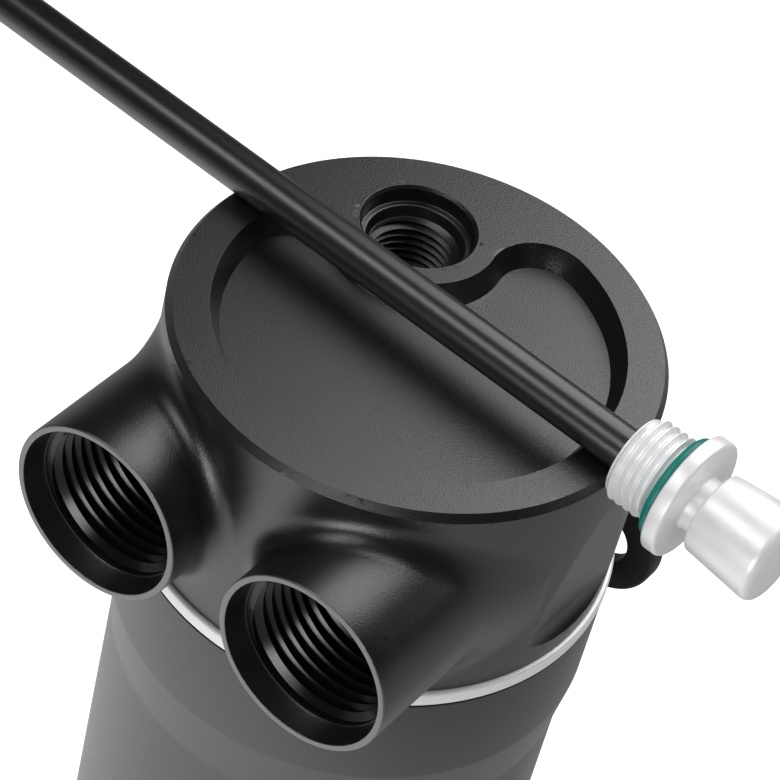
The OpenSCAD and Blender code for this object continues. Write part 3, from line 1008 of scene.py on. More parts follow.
@dataclass
class PocketOutline:
    """Outline of the pocket in the top face: an outer arc, the arc of the land, and two round corners.

    Attributes:
        sizes: Sizes of the head.
    """

    sizes: HeadSizes

    def __post_init__(self) -> None:
        """Works out the centres of the two corners."""
        s = self.sizes
        self.outer_r = s.face_r - s.rim_w
        self.land_r = s.hole_mouth_r + s.land_w
        self.hole = np.array(s.hole)
        far = self.outer_r - s.pocket_corner
        near = self.land_r + s.pocket_corner
        reach = float(np.linalg.norm(self.hole))
        swing = math.acos((far * far + reach * reach - near * near) / (2 * far * reach))
        facing = math.atan2(self.hole[1], self.hole[0])
        self.corners = [
            far * np.array([math.cos(facing + side * swing), math.sin(facing + side * swing)])
            for side in (-1, 1)]

    def distance(self, x: np.ndarray, y: np.ndarray) -> np.ndarray:
        """Distance from the outline, below zero inside the pocket.

        Args:
            x: Places along X.
            y: Places along Y.

        Returns:
            The distances.
        """
        result = np.maximum(np.hypot(x, y) - self.outer_r,
                            self.land_r - np.hypot(x - self.hole[0], y - self.hole[1]))
        for centre in self.corners:
            outward = centre / np.linalg.norm(centre)
            landward = (self.hole - centre) / np.linalg.norm(self.hole - centre)
            basis = np.linalg.inv(np.stack([outward, landward], axis=1))
            dx, dy = x - centre[0], y - centre[1]
            along_out = basis[0, 0] * dx + basis[0, 1] * dy
            along_land = basis[1, 0] * dx + basis[1, 1] * dy
            in_corner = (along_out > 0) & (along_land > 0)
            result = np.where(in_corner, np.hypot(dx, dy) - self.sizes.pocket_corner, result)
        return result


@dataclass
class Head:
    """The machined head: body, mouths and threads of the ports, mouth of the dipstick hole, and spigot.

    The body is a contour of a field. What has a thread is turned, as a liner in a bore of the body.

    Attributes:
        sizes: Sizes of the head.
        finishes: The finishes.
    """

    LINER_SINK = 0.3
    LINER_EDGE = 0.4
    LINER_FLUSH = 0.03
    HOLE_LINER_OVER = 2.0
    PORT_LINER_LEN = 3.2
    PORT_LINER_LAP = 0.5
    PORT_LINER_BORE = 11.5
    PORT_LINER_OVER = 1.2
    PORT_LIP = 0.2
    CHAMFER_LAP = 0.3
    BODY_LAP = 1.0
    SPIGOT_LAP = (0.6, 0.5)
    LATTICE_BELOW = (-1.73, 1.87, -1.3)
    LATTICE_ABOVE = (1.6, 1.2, 1.1)
    TUBE_COLUMNS = 160
    HOLE_COLUMNS = 128
    SPIGOT_COLUMNS = 224

    sizes: HeadSizes
    finishes: Finishes

    def __post_init__(self) -> None:
        """Works out the pocket's outline."""
        self.pocket = PocketOutline(self.sizes)

    def outside(self, x: np.ndarray, y: np.ndarray, z: np.ndarray) -> np.ndarray:
        """Outer form: wall, port tubes, blends, flats and the pad for the bracket.

        Args:
            x: Places along X.
            y: Places along Y.
            z: Places along Z.

        Returns:
            Its field, below zero inside.
        """
        s = self.sizes
        wall = np.hypot(x, y) - s.wall_r
        tubes = round_join(np.hypot(x - s.port_x, z - s.port_z) - s.port_r,
                           np.hypot(x + s.port_x, z - s.port_z) - s.port_r, s.valley_blend)
        tubes = np.maximum(tubes, y - s.port_root_y)
        outer = round_join(wall, tubes, s.port_blend)
        outer = np.maximum(outer, self.PORT_LINER_LEN - s.reach - y)
        slant = math.hypot(s.chamfer_w, s.chamfer_h)
        chamfer = (wall * s.chamfer_h + (z - s.top + s.chamfer_h) * s.chamfer_w) / slant
        near_top = z - s.top + s.chamfer_h + self.CHAMFER_LAP
        outer = np.maximum(outer, np.maximum(np.minimum(chamfer, near_top), z - s.top))
        outer = np.maximum(outer, -self.flats(x, z))
        pad = np.maximum(np.maximum(np.abs(x) - s.pad_w / 2, np.abs(z - s.bolt_z) - s.pad_h / 2),
                         np.maximum(y - s.pad_y, s.wall_r - s.pad_root - y))
        return np.maximum(round_join(outer, pad, s.pad_blend), s.shoulder - z)

    def flats(self, x: np.ndarray, z: np.ndarray) -> np.ndarray:
        """What the two leaning flats take off.

        Args:
            x: Places along X.
            z: Places along Z.

        Returns:
            Its field, below zero inside.
        """
        s = self.sizes
        high, low = s.top - s.flat_top_drop, s.shoulder + s.flat_margin
        lean = s.flat_depth / (high - low)
        leaning = (s.wall_r - (high - z) * lean - np.abs(x)) / math.hypot(1, lean)
        return round_common(leaning, low - z, s.flat_corner)

    def pocket_cut(self, x: np.ndarray, y: np.ndarray, z: np.ndarray) -> np.ndarray:
        """The shallow pocket in the top.

        Args:
            x: Places along X.
            y: Places along Y.
            z: Places along Z.

        Returns:
            Its field, below zero inside.
        """
        s = self.sizes
        inset = s.pocket_draft * (s.top - z) / s.pocket_depth
        lean = s.pocket_depth / math.hypot(s.pocket_depth, s.pocket_draft)
        wall = (self.pocket.distance(x, y) + inset) * lean
        return np.maximum(wall, s.top - s.pocket_depth - z)

    def block(self, x: np.ndarray, y: np.ndarray, z: np.ndarray) -> np.ndarray:
        """The block in the chamber that carries the inlet's way down.

        Args:
            x: Places along X.
            y: Places along Y.
            z: Places along Z.

        Returns:
            Its field, below zero inside.
        """
        s = self.sizes
        sides = round_common(x - s.block_side[0], y - s.block_side[1], s.block_corner)
        return np.maximum(sides, s.spigot_end + s.block_rise - z)

    def bores(self, x: np.ndarray, y: np.ndarray, z: np.ndarray) -> np.ndarray:
        """All drilled holes together.

        Args:
            x: Places along X.
            y: Places along Y.
            z: Places along Z.

        Returns:
            Their field, below zero inside.
        """
        s = self.sizes
        cut = np.maximum(np.hypot(x - s.hole[0], y - s.hole[1]) - s.hole_liner_r,
                         s.roof - s.hole_boss_len - self.HOLE_LINER_OVER - z)
        thread_end = -s.reach + s.port_seat_depth + self.PORT_LINER_OVER + s.port_thread_len
        for side, end in ((-1, s.inlet_end_y), (1, s.outlet_end_y)):
            off_axis = np.hypot(x - side * s.port_x, z - s.port_z)
            cut = np.minimum(cut, np.maximum(off_axis - self.PORT_LINER_BORE, y - thread_end))
            cut = np.minimum(cut, np.maximum(off_axis - s.port_passage_r, y - end))
        cut = np.minimum(cut, np.maximum(np.hypot(x - s.down[0], y - s.down[1]) - s.down_bore_r,
                                         z - s.port_z))
        bolts = np.hypot(np.abs(x) - s.bolt_spacing / 2, z - s.bolt_z) - s.bolt_bore_r
        return np.minimum(cut, np.maximum(bolts, s.pad_y - s.bolt_bore_depth - y))

    def solid(self, points: np.ndarray) -> np.ndarray:
        """The whole head without its turned mouths and spigot.

        Args:
            points: Points, with x, y and z in the last axis.

        Returns:
            Its field, below zero inside.
        """
        s = self.sizes
        x, y, z = points[..., 0], points[..., 1], points[..., 2]
        block = self.block(x, y, z)
        boss = np.maximum(np.hypot(x - s.hole[0], y - s.hole[1]) - s.hole_mouth_r - s.hole_boss_wall,
                          s.roof - s.hole_boss_len - z)
        chamber = np.maximum(np.hypot(x, y) - s.chamber_r, z - s.roof)
        chamber = np.maximum(chamber, -np.minimum(block, boss))
        chamber = np.maximum(chamber, s.shoulder - self.BODY_LAP - z)
        foot = np.maximum(np.maximum(block, np.hypot(x, y) - s.chamber_r - self.LINER_SINK * 2),
                          z - s.shoulder - self.BODY_LAP)
        body = np.minimum(np.maximum(self.outside(x, y, z), -chamber), foot)
        body = np.maximum(body, -self.pocket_cut(x, y, z))
        return np.maximum(body, -self.bores(x, y, z))

    def body(self) -> bpy.types.Object:
        """The head's body, smooth over its blends and sharp at its edges.

        Returns:
            The piece.
        """
        s = self.sizes
        low = np.array((-s.wall_r, -s.reach, s.spigot_end + s.block_rise)) + self.LATTICE_BELOW
        high = np.array((s.wall_r, s.pad_y, s.top)) + self.LATTICE_ABOVE
        piece = Contour("head_body", self.solid, tuple(low), tuple(high)).make()
        return finish_piece(piece, self.finishes, Slot.BLACK_ANODISED, Body.HEAD, ["head"])

    def port_place(self, x: float) -> Matrix:
        """Place of a port whose axis is at x, with its own +Z into the port."""
        return (Matrix.Translation((x, -self.sizes.reach, self.sizes.port_z))
                @ Matrix.Rotation(-math.pi / 2, 4, "X"))

    def port_mouth(self, name: str, x: float) -> bpy.types.Object:
        """Rim and seat of one port, turned about the port's axis.

        Args:
            name: Name of the piece.
            x: Sideways place of the port.

        Returns:
            The piece.
        """
        s = self.sizes
        hidden = self.PORT_LINER_BORE + self.LINER_SINK
        floor_r = s.port_seat_r - s.port_seat_taper
        corner_h, corner_w = s.port_seat_corner
        step_end = s.port_seat_depth + s.port_step
        part = Turned(name, columns=self.TUBE_COLUMNS)
        part.outline((self.PORT_LINER_LEN, s.port_r, 0), (0, s.port_r, s.port_outer_edge),
                     (0, s.port_seat_r, s.port_inner_edge), (s.port_seat_depth - corner_h, floor_r, 0))
        part.through((s.port_seat_depth, floor_r - corner_w), (s.port_seat_depth, s.port_root_r),
                     (step_end, s.port_root_r), (step_end, hidden),
                     (self.PORT_LINER_LEN + self.PORT_LINER_LAP, hidden))
        piece = part.make(self.port_place(x), closed=True)
        finish_piece(piece, self.finishes, Slot.BLACK_ANODISED, Body.HEAD)
        return self.finishes.dress_lip(piece, self.PORT_LIP - s.reach)

    def port_thread(self, name: str, x: float) -> bpy.types.Object:
        """Thread of one port.

        Args:
            name: Name of the piece.
            x: Sideways place of the port.

        Returns:
            The piece.
        """
        s = self.sizes
        start = s.port_seat_depth + s.port_step
        thread = Thread(start=start, length=s.port_thread_len + s.port_run_out, pitch=s.port_pitch,
                        crest=s.port_crest_r, root=s.port_root_r, crest_share=0.1, root_share=0.16, lead=4.0)
        end = thread.start + thread.length + s.port_step
        hidden = self.PORT_LINER_BORE + self.LINER_SINK
        part = Turned(name, columns=self.TUBE_COLUMNS)
        part.through((start, hidden)).threaded(thread)
        part.through((end, thread.root), (end, hidden))
        piece = part.make(self.port_place(x), closed=True)
        finish_piece(piece, self.finishes, Slot.BLACK_ANODISED, Body.HEAD)
        return self.finishes.redress(piece, Look.CUT)

    def hole_mouth(self) -> bpy.types.Object:
        """Counterbore, seat cone and thread of the dipstick hole.

        Returns:
            The piece.
        """
        s = self.sizes
        length = s.top - (s.roof - s.hole_boss_len)
        thread = Thread(start=s.hole_seat_end, length=length - s.hole_seat_end - s.hole_run_out,
                        pitch=s.hole_pitch, crest=s.hole_crest_r, root=s.hole_root_r)
        hidden = s.hole_liner_r + self.LINER_SINK
        cone_end = s.hole_seat_end - s.hole_seat_land
        part = Turned("dipstick_hole_mouth", columns=self.HOLE_COLUMNS)
        part.outline((self.LINER_EDGE, hidden, 0), (self.LINER_FLUSH, hidden, 0), (0, s.hole_liner_r, 0),
                     (0, s.hole_mouth_r + s.hole_lip_w, s.hole_lip_edge),
                     (s.hole_lip_depth, s.hole_mouth_r, s.hole_mouth_edge),
                     (s.hole_mouth_depth, s.hole_mouth_r, s.hole_mouth_corner),
                     (s.hole_mouth_depth, s.hole_seat_r, s.hole_seat_edge),
                     (cone_end, s.hole_seat_low_r, s.hole_seat_edge), (s.hole_seat_end, thread.root, 0))
        part.threaded(thread)
        part.through((length, thread.root + s.hole_end_w), (length, hidden))
        place = Matrix.Translation((*s.hole, s.top)) @ Matrix.Rotation(math.pi, 4, "X")
        return finish_piece(part.make(place, closed=True), self.finishes, Slot.BLACK_ANODISED, Body.HEAD)

    def spigot(self) -> bpy.types.Object:
        """Threaded spigot with the groove for its seal.

        Returns:
            The piece.
        """
        s = self.sizes
        groove = s.spigot_end + s.groove_place
        groove_low, groove_high = groove - s.groove_w / 2, groove + s.groove_w / 2
        start = groove_high + s.groove_land
        thread = Thread(start=start, length=s.shoulder - s.spigot_relief - start, pitch=s.spigot_pitch,
                        crest=s.spigot_r, root=s.spigot_r - s.spigot_thread_depth)
        lap_h, lap_w = self.SPIGOT_LAP
        part = Turned("head_spigot", columns=self.SPIGOT_COLUMNS)
        part.outline((s.shoulder + lap_h, s.chamber_r + lap_w, 0), (s.shoulder, s.chamber_r, 0),
                     (s.spigot_end, s.chamber_r, s.spigot_inner_edge),
                     (s.spigot_end, s.spigot_r, s.spigot_outer_edge),
                     (groove_low, s.spigot_r, s.groove_edge), (groove_low, s.groove_r, s.groove_corner),
                     (groove_high, s.groove_r, s.groove_corner), (groove_high, s.spigot_r, s.groove_edge),
                     (start - s.spigot_lead, s.spigot_r, s.spigot_lead_edge), (start, thread.root, 0))
        part.threaded(thread)
        part.through((s.shoulder + lap_h, thread.root))
        piece = part.make(Matrix.Identity(4), closed=True)
        return finish_piece(piece, self.finishes, Slot.BLACK_ANODISED, Body.HEAD)

    def build(self) -> None:
        """Builds all pieces of the head."""
        self.body()
        for name, x in (("inlet", -self.sizes.port_x), ("outlet", self.sizes.port_x)):
            self.port_mouth(f"{name}_mouth", x)
            self.port_thread(f"{name}_thread", x)
        self.hole_mouth()
        self.spigot()
        self.finishes.dress_node("spigot_seal", Slot.BLACK_RUBBER)


@dataclass
class ReservoirSizes:
    """Sizes of the reservoir and of the bright ring above it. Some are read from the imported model."""

    mouth: float = field(default_factory=lambda: high_mm("reservoir").z)
    collar_r: float = field(default_factory=lambda: high_mm("reservoir").x)
    gasket_r: float = field(default_factory=lambda: high_mm("head_gasket").x)
    ring_low: float = field(default_factory=lambda: low_mm("trim_ring").z)
    ring_high: float = field(default_factory=lambda: high_mm("trim_ring").z)
    ring_r: float = field(default_factory=lambda: high_mm("trim_ring").x)
    ring_bore_r: float = 29.2
    ring_high_edge: float = 0.4
    ring_low_edge: float = 0.25
    tube_r: float = 32.2
    wall: float = 2.7
    floor_t: float = 11.0
    floor_fall: float = 1.5
    floor_fillet: float = 5.0
    collar_len: float = 14.5
    lip_h: float = 0.5
    lip_edge: float = 0.08
    gasket_gap: float = 0.03
    taper: float = 9.0
    taper_low_blend: float = 12.0
    taper_high_blend: float = 4.0
    foot: float = 3.0
    mouth_cone: Point = (1.0, 1.1)
    mouth_edge: float = 0.1
    bore_r: float = 29.0
    bore_depth: float = 13.0
    bore_gap: float = 0.05
    bore_step: float = 0.6
    bore_corner: float = 0.3
    thread_pitch: float = 2.0
    thread_depth: float = 0.95
    thread_low_relief: float = 0.8
    thread_high_relief: float = 1.4
    recess_r: float = 14.0
    recess_depth: float = 5.0
    recess_edge: float = 0.4
    recess_corner: float = 0.5
    drain_r: float = 5.0


@dataclass
class Reservoir:
    """The one-piece reservoir with its threaded mouth, and the bright ring on it.

    Attributes:
        sizes: Sizes of both.
        finishes: The finishes.
    """

    COLUMNS = 256

    sizes: ReservoirSizes
    finishes: Finishes

    def vessel(self) -> bpy.types.Object:
        """Wall, collar, floor and foot, turned from one bar.

        Returns:
            The piece.
        """
        s = self.sizes
        bore_end = s.mouth - s.bore_depth
        inner = s.tube_r - s.wall
        collar_low = s.mouth - s.collar_len
        lip = s.mouth + s.lip_h
        lip_r = s.gasket_r + s.gasket_gap
        cone_h, cone_w = s.mouth_cone
        thread = Thread(start=bore_end + s.thread_low_relief,
                        length=s.bore_depth - s.thread_low_relief - s.thread_high_relief,
                        pitch=s.thread_pitch, crest=s.bore_r, root=s.bore_r + s.thread_depth)
        part = Turned("reservoir_vessel", columns=self.COLUMNS)
        part.outline((s.recess_depth, s.drain_r, 0), (s.recess_depth, s.recess_r, s.recess_corner),
                     (0, s.recess_r, s.recess_edge), (0, s.tube_r, s.foot),
                     (collar_low - s.taper, s.tube_r, s.taper_low_blend),
                     (collar_low, s.collar_r, s.taper_high_blend), (lip, s.collar_r, s.lip_edge),
                     (lip, lip_r, 0), (s.mouth, lip_r, 0), (s.mouth, s.bore_r + cone_w, s.mouth_edge),
                     (s.mouth - cone_h, s.bore_r + s.bore_gap, s.mouth_edge),
                     (thread.start + thread.length, s.bore_r, 0))
        part.rows.extend(reversed(thread.rows(part.turn)))
        part.outline((thread.start, s.bore_r, 0), (bore_end, s.bore_r, s.mouth_edge),
                     (bore_end - s.bore_step, inner, s.bore_corner), (s.floor_t, inner, s.floor_fillet),
                     (s.floor_t - s.floor_fall, s.drain_r, 0))
        piece = part.make(Matrix.Identity(4), closed=True)
        return finish_piece(piece, self.finishes, Slot.BLACK_ANODISED, Body.RESERVOIR, ["reservoir"])

    def ring(self) -> bpy.types.Object:
        """The bright turned ring between head and reservoir.

        Returns:
            The piece.
        """
        s = self.sizes
        part = Turned("trim_ring_turned", columns=self.COLUMNS)
        part.outline((s.ring_high, s.ring_bore_r, 0), (s.ring_high, s.ring_r, s.ring_high_edge),
                     (s.ring_low, s.ring_r, s.ring_low_edge), (s.ring_low, s.ring_bore_r, 0))
        piece = part.make(Matrix.Identity(4), closed=True)
        return finish_piece(piece, self.finishes, Slot.CLEAR_ANODISED, Body.LIFT_RING, ["trim_ring"])

    def build(self) -> None:
        """Builds the vessel and the ring, and dresses the gasket and the drain."""
        self.vessel()
        self.ring()
        self.finishes.dress_node("head_gasket", Slot.BLACK_RUBBER)
        self.finishes.dress_node("drain_plug", Slot.CLEAR_ANODISED)
        self.finishes.dress_node("drain_seal", Slot.TEAL_SEAL)


@dataclass
class DipstickSizes:
    """Sizes of the dipstick, whose plug is turned about its own axis from its inner end."""

    lay_y: float = 0.8
    lay_turn: float = -2.7
    plug_x: float = 33.3
    rod_r: float = 2.9
    rod_len: float = 176.0
    rod_grip: float = 4.0
    rod_end_edge: float = 0.5
    rod_grip_edge: float = 0.3
    marks: tuple[float, ...] = (12.0, 52.0)
    mark_w: float = 1.2
    mark_depth: float = 0.35
    mark_edge: float = 0.1
    bore_gap: float = 0.05
    bore_over: float = 0.5
    bore_edge: float = 0.25
    tip_edge: float = 0.15
    thread_r: float = 6.05
    thread_len: float = 6.4
    thread_start: float = 0.25
    thread_short: float = 0.4
    thread_pitch: float = 1.25
    thread_depth: float = 0.68
    seal_r: float = 7.2
    seal_t: float = 1.5
    groove_r: float = 5.65
    flange_r: float = 8.35
    flange_t: float = 2.2
    flange_edge: float = 0.25
    neck_r: float = 3.7
    neck_len: float = 2.2
    neck_edge: float = 0.5
    knob_inner_r: float = 5.5
    knob_end_r: float = 6.5
    knob_len: float = 10.5
    knob_edge: float = 1.2

    @property
    def flange(self) -> float:
        """Place of the flange's inner face along the plug."""
        return self.thread_len + self.seal_t

    @property
    def neck(self) -> float:
        """Place where the neck begins."""
        return self.flange + self.flange_t

    @property
    def knob(self) -> float:
        """Place where the knob begins."""
        return self.neck + self.neck_len


@dataclass
class Dipstick:
    """The dipstick that lies across the head: rod, plug and seal.

    Attributes:
        sizes: Sizes of the dipstick.
        top: Height of the face that it lies on.
        finishes: The finishes.
    """

    ROD_COLUMNS = 96
    PLUG_COLUMNS = 160
    SEAL_COLUMNS = 128
    SEAL_STEPS = 24

    sizes: DipstickSizes
    top: float
    finishes: Finishes

    def __post_init__(self) -> None:
        """Works out where the dipstick lies, with its own +Z out through the knob."""
        s = self.sizes
        self.place = (Matrix.Translation((0, s.lay_y, self.top + s.rod_r))
                      @ Matrix.Rotation(math.radians(s.lay_turn), 4, "Z")
                      @ Matrix.Translation((s.plug_x, 0, 0)) @ Matrix.Rotation(math.pi / 2, 4, "Y"))

    def rod(self) -> bpy.types.Object:
        """The rod, with its two level marks turned in near its end.

        Returns:
            The piece.
        """
        s = self.sizes
        low = -s.rod_len
        mark_r = s.rod_r - s.mark_depth
        corners = [(low, 0, 0), (low, s.rod_r, s.rod_end_edge)]
        for mark in s.marks:
            start, end = low + mark, low + mark + s.mark_w
            corners += [(start, s.rod_r, s.mark_edge), (start, mark_r, s.mark_edge),
                        (end, mark_r, s.mark_edge), (end, s.rod_r, s.mark_edge)]
        corners += [(s.rod_grip, s.rod_r, s.rod_grip_edge), (s.rod_grip, 0, 0)]
        part = Turned("dipstick_rod_turned", columns=self.ROD_COLUMNS).outline(*corners)
        piece = part.make(self.place)
        finish_piece(piece, self.finishes, Slot.BLACK_ANODISED, Body.HEAD, ["dipstick_rod"])
        return self.finishes.redress(piece, Look.SATIN)

    def plug(self) -> bpy.types.Object:
        """The plug: thread, seal groove, flange, neck and knob.

        Returns:
            The piece.
        """
        s = self.sizes
        bore_r = s.rod_r + s.bore_gap
        bore_end = s.rod_grip + s.bore_over
        tip = s.knob + s.knob_len
        thread = Thread(start=s.thread_start, length=s.thread_len - s.thread_short, pitch=s.thread_pitch,
                        crest=s.thread_r, root=s.thread_r - s.thread_depth)
        part = Turned("dipstick_plug_turned", columns=self.PLUG_COLUMNS)
        part.outline((bore_end, 0, 0), (bore_end, bore_r, 0), (0, bore_r, s.bore_edge),
                     (0, thread.root, s.tip_edge), (thread.start, thread.root, 0))
        part.threaded(thread)
        part.outline((s.thread_len, thread.root, 0), (s.thread_len, s.groove_r, 0), (s.flange, s.groove_r, 0),
                     (s.flange, s.flange_r, s.flange_edge), (s.neck, s.flange_r, s.neck_edge),
                     (s.neck, s.neck_r, s.neck_edge), (s.knob, s.neck_r, s.neck_edge),
                     (s.knob, s.knob_inner_r, s.neck_edge), (tip, s.knob_end_r, s.knob_edge), (tip, 0, 0))
        piece = part.make(self.place)
        return finish_piece(piece, self.finishes, Slot.CLEAR_ANODISED, Body.HEAD, ["dipstick_plug"])

    def seal(self) -> bpy.types.Object:
        """The round seal on the plug.

        Returns:
            The piece.
        """
        s = self.sizes
        wire = s.seal_t / 2
        part = Turned("dipstick_seal_ring", columns=self.SEAL_COLUMNS, sharp=80)
        for step in range(self.SEAL_STEPS):
            angle = 2 * math.pi * step / self.SEAL_STEPS
            part.through((s.flange - wire + wire * math.sin(angle), s.seal_r - wire + wire * math.cos(angle)))
        piece = part.make(self.place, closed=True)
        return finish_piece(piece, self.finishes, Slot.TEAL_SEAL, Body.HEAD, ["dipstick_seal"])

    def build(self) -> None:
        """Builds rod, plug and seal."""
        self.rod()
        self.plug()
        self.seal()


@dataclass
class BracketSizes:
    """Sizes of the bracket plate."""

    near_y: float = field(default_factory=lambda: low_mm("bracket").y)
    far_y: float = field(default_factory=lambda: high_mm("bracket").y)
    top: float = field(default_factory=lambda: high_mm("bracket").z)
    upright_w: float = 30.0
    pad_h: float = 16.0
    lug_fall: float = 28.9
    lug_spacing: float = 38.4
    lug_hole_r: float = 4.5
    lug_wall: float = 4.6
    corner_r: float = 3.0
    bolt_spacing: float = 16.0
    bolt_hole_r: float = 3.25
    edge: float = 0.45

    @property
    def bolt_z(self) -> float:
        """Height of the screws."""
        return self.top - self.pad_h / 2

    @property
    def lug_z(self) -> float:
        """Height of the lugs' holes."""
        return self.bolt_z - self.lug_fall


@dataclass
class Bracket:
    """The bracket plate behind the head, with its two screws.

    Attributes:
        sizes: Sizes of the plate.
        finishes: The finishes.
    """

    LUG_STEPS = 32
    HOLE_STEPS = 48
    EDGE_STEPS = 3
    WELD = 1e-6

    sizes: BracketSizes
    finishes: Finishes

    @staticmethod
    def arc(centre: Point, radius: float, start: float, end: float, steps: int = 12) -> list[Point]:
        """Points of an arc.

        Args:
            centre: Its centre.
            radius: Its radius.
            start: First angle, in degrees.
            end: Last angle, in degrees.
            steps: Number of chords.

        Returns:
            The points.
        """
        angles = [math.radians(start + (end - start) * i / steps) for i in range(steps + 1)]
        return [(centre[0] + radius * math.cos(a), centre[1] + radius * math.sin(a)) for a in angles]

    def outline(self) -> list[Point]:
        """Outline of the plate, seen from behind.

        Returns:
            Its points.
        """
        s = self.sizes
        lug_r = s.lug_hole_r + s.lug_wall
        x, r = s.upright_w / 2, s.corner_r
        half = (self.arc((x - r, s.top - r), r, 90, 0)
                + self.arc((x + r, s.lug_z + lug_r + r), r, 180, 270)
                + self.arc((s.lug_spacing / 2, s.lug_z), lug_r, 90, -90, steps=self.LUG_STEPS))
        return half + [(-px, pz) for px, pz in reversed(half)]

    def holes(self) -> list[list[Point]]:
        """Outlines of the mounting holes and the screw holes.

        Returns:
            One ring of points for each hole.
        """
        s = self.sizes
        places = [(side * s.lug_spacing / 2, s.lug_z, s.lug_hole_r) for side in (-1, 1)]
        places += [(side * s.bolt_spacing / 2, s.bolt_z, s.bolt_hole_r) for side in (-1, 1)]
        last = 360 - 360 / self.HOLE_STEPS
        return [self.arc((x, z), r, 0, last, steps=self.HOLE_STEPS - 1) for x, z, r in places]

    def plate(self) -> bpy.types.Object:
        """The plate, with softened edges.

        Returns:
            The piece.
        """
        s = self.sizes
        curve = bpy.data.curves.new("bracket_outline", "CURVE")
        curve.dimensions = "2D"
        curve.fill_mode = "BOTH"
        curve.extrude = ((s.far_y - s.near_y) / 2 - s.edge) * MM
        curve.bevel_depth = s.edge * MM
        curve.bevel_resolution = self.EDGE_STEPS
        curve.offset = -s.edge * MM
        for ring in [self.outline()] + self.holes():
            spline = curve.splines.new("POLY")
            spline.points.add(len(ring) - 1)
            spline.use_cyclic_u = True
            for point, (x, z) in zip(spline.points, ring):
                point.co = (x * MM, z * MM, 0, 1)
        holder = bpy.data.objects.new("bracket_outline", curve)
        bpy.context.scene.collection.objects.link(holder)
        bpy.context.view_layer.update()
        mesh = bpy.data.meshes.new_from_object(holder.evaluated_get(bpy.context.evaluated_depsgraph_get()))
        bpy.data.objects.remove(holder)
        mesh.transform(Matrix.Translation((0, (s.near_y + s.far_y) / 2 * MM, 0))
                       @ Matrix.Rotation(math.pi / 2, 4, "X"))
        weld(mesh, self.WELD)
        smooth(mesh, sharp=35)
        piece = bpy.data.objects.new("bracket_plate", mesh)
        bpy.context.scene.collection.objects.link(piece)
        return finish_piece(piece, self.finishes, Slot.BLACK_POWDER, Body.HEAD, ["bracket"])

    def build(self) -> None:
        """Builds the plate and dresses its screws and washers."""
        self.plate()
        for node in ("bracket_bolt_1", "bracket_bolt_2", "bracket_washer_1", "bracket_washer_2"):
            self.finishes.dress_node(node, Slot.STAINLESS)


@dataclass
class FilterStack:
    """The baffles, the wire mesh and what carries them, inside the reservoir.

    Attributes:
        finishes: The finishes.
    """

    SLOTS = {
        Slot.STAINLESS: ("upper_baffle", "lower_baffle", "standoff_1", "standoff_2", "standoff_3",
                         "baffle_screw_1", "baffle_screw_2", "baffle_screw_3"),
        Slot.WIRE_MESH: ("mesh_pack",),
        Slot.CLEAR_ANODISED: ("down_tube",),
    }

    finishes: Finishes

    def build(self) -> None:
        """Dresses the inner parts."""
        for slot, nodes in self.SLOTS.items():
            for node in nodes:
                self.finishes.dress_node(node, slot)
            log.info("filter stack: %d nodes in %s", len(nodes), slot.value)


@dataclass
class Viewpoint:
    """The photograph's camera, fitted to the circles of the head.

    Attributes:
        azimuth: Angle round the can, in degrees, 0 looking along +Y.
        elevation: Angle above the horizon, in degrees.
        roll: Turn about the line of sight, in degrees.
        place: Place from the centre of the top face, in millimetres.
        lens: Focal length for the sensor, in millimetres.
        sensor_w: Width of the sensor, in millimetres.
        clip: Nearest and farthest distance that is drawn, in metres.
    """

    azimuth: float = 27.05
    elevation: float = 44.375
    roll: float = 14.817
    place: tuple[float, float, float] = (136.77, -271.63, 285.10)
    lens: float = 150.86
    sensor_w: float = 36.0
    clip: tuple[float, float] = (0.02, 20.0)

    def build(self, top: float) -> None:
        """Makes the camera.

        Args:
            top: Height of the head's top face.
        """
        a, e, r = (math.radians(v) for v in (self.azimuth, self.elevation, self.roll))
        back = Vector((math.sin(a) * math.cos(e), -math.cos(a) * math.cos(e), math.sin(e)))
        right = Vector((math.cos(a), math.sin(a), 0))
        up = back.cross(right)
        turned_right = right * math.cos(r) + up * math.sin(r)
        turned_up = up * math.cos(r) - right * math.sin(r)
        data = bpy.data.cameras.new("photo_camera")
        data.lens = self.lens
        data.sensor_width = self.sensor_w
        data.clip_start, data.clip_end = self.clip
        camera = bpy.data.objects.new("photo_camera", data)
        bpy.context.scene.collection.objects.link(camera)
        turn = Matrix((turned_right, turned_up, back)).transposed().to_4x4()
        spot = (Vector(self.place) + Vector((0, 0, top))) * MM
        camera.matrix_world = Matrix.Translation(spot) @ turn
        bpy.context.scene.camera = camera
        log.info("camera at %s", tuple(round(v, 4) for v in spot))


@dataclass(frozen=True)
class SoftLamp:
    """One softbox.

    Attributes:
        name: Name of the lamp.
        toward: Direction from the head to the lamp.
        distance: Distance from the head, in metres.
        size: Width and height, in metres.
        power: Power in watts.
    """

    name: str
    toward: tuple[float, float, float]
    distance: float
    size: tuple[float, float]
    power: float

    def build(self, target: Vector) -> None:
        """Makes the lamp.

        Args:
            target: The place that it faces.
        """
        data = bpy.data.lights.new(self.name, "AREA")
        data.shape = "RECTANGLE"
        data.size, data.size_y = self.size
        data.energy = self.power
        lamp = bpy.data.objects.new(self.name, data)
        lamp.visible_camera = False
        bpy.context.scene.collection.objects.link(lamp)
        way = Vector(self.toward).normalized()
        lamp.matrix_world = (Matrix.Translation(target + way * self.distance)
                             @ way.to_track_quat("Z", "Y").to_matrix().to_4x4())


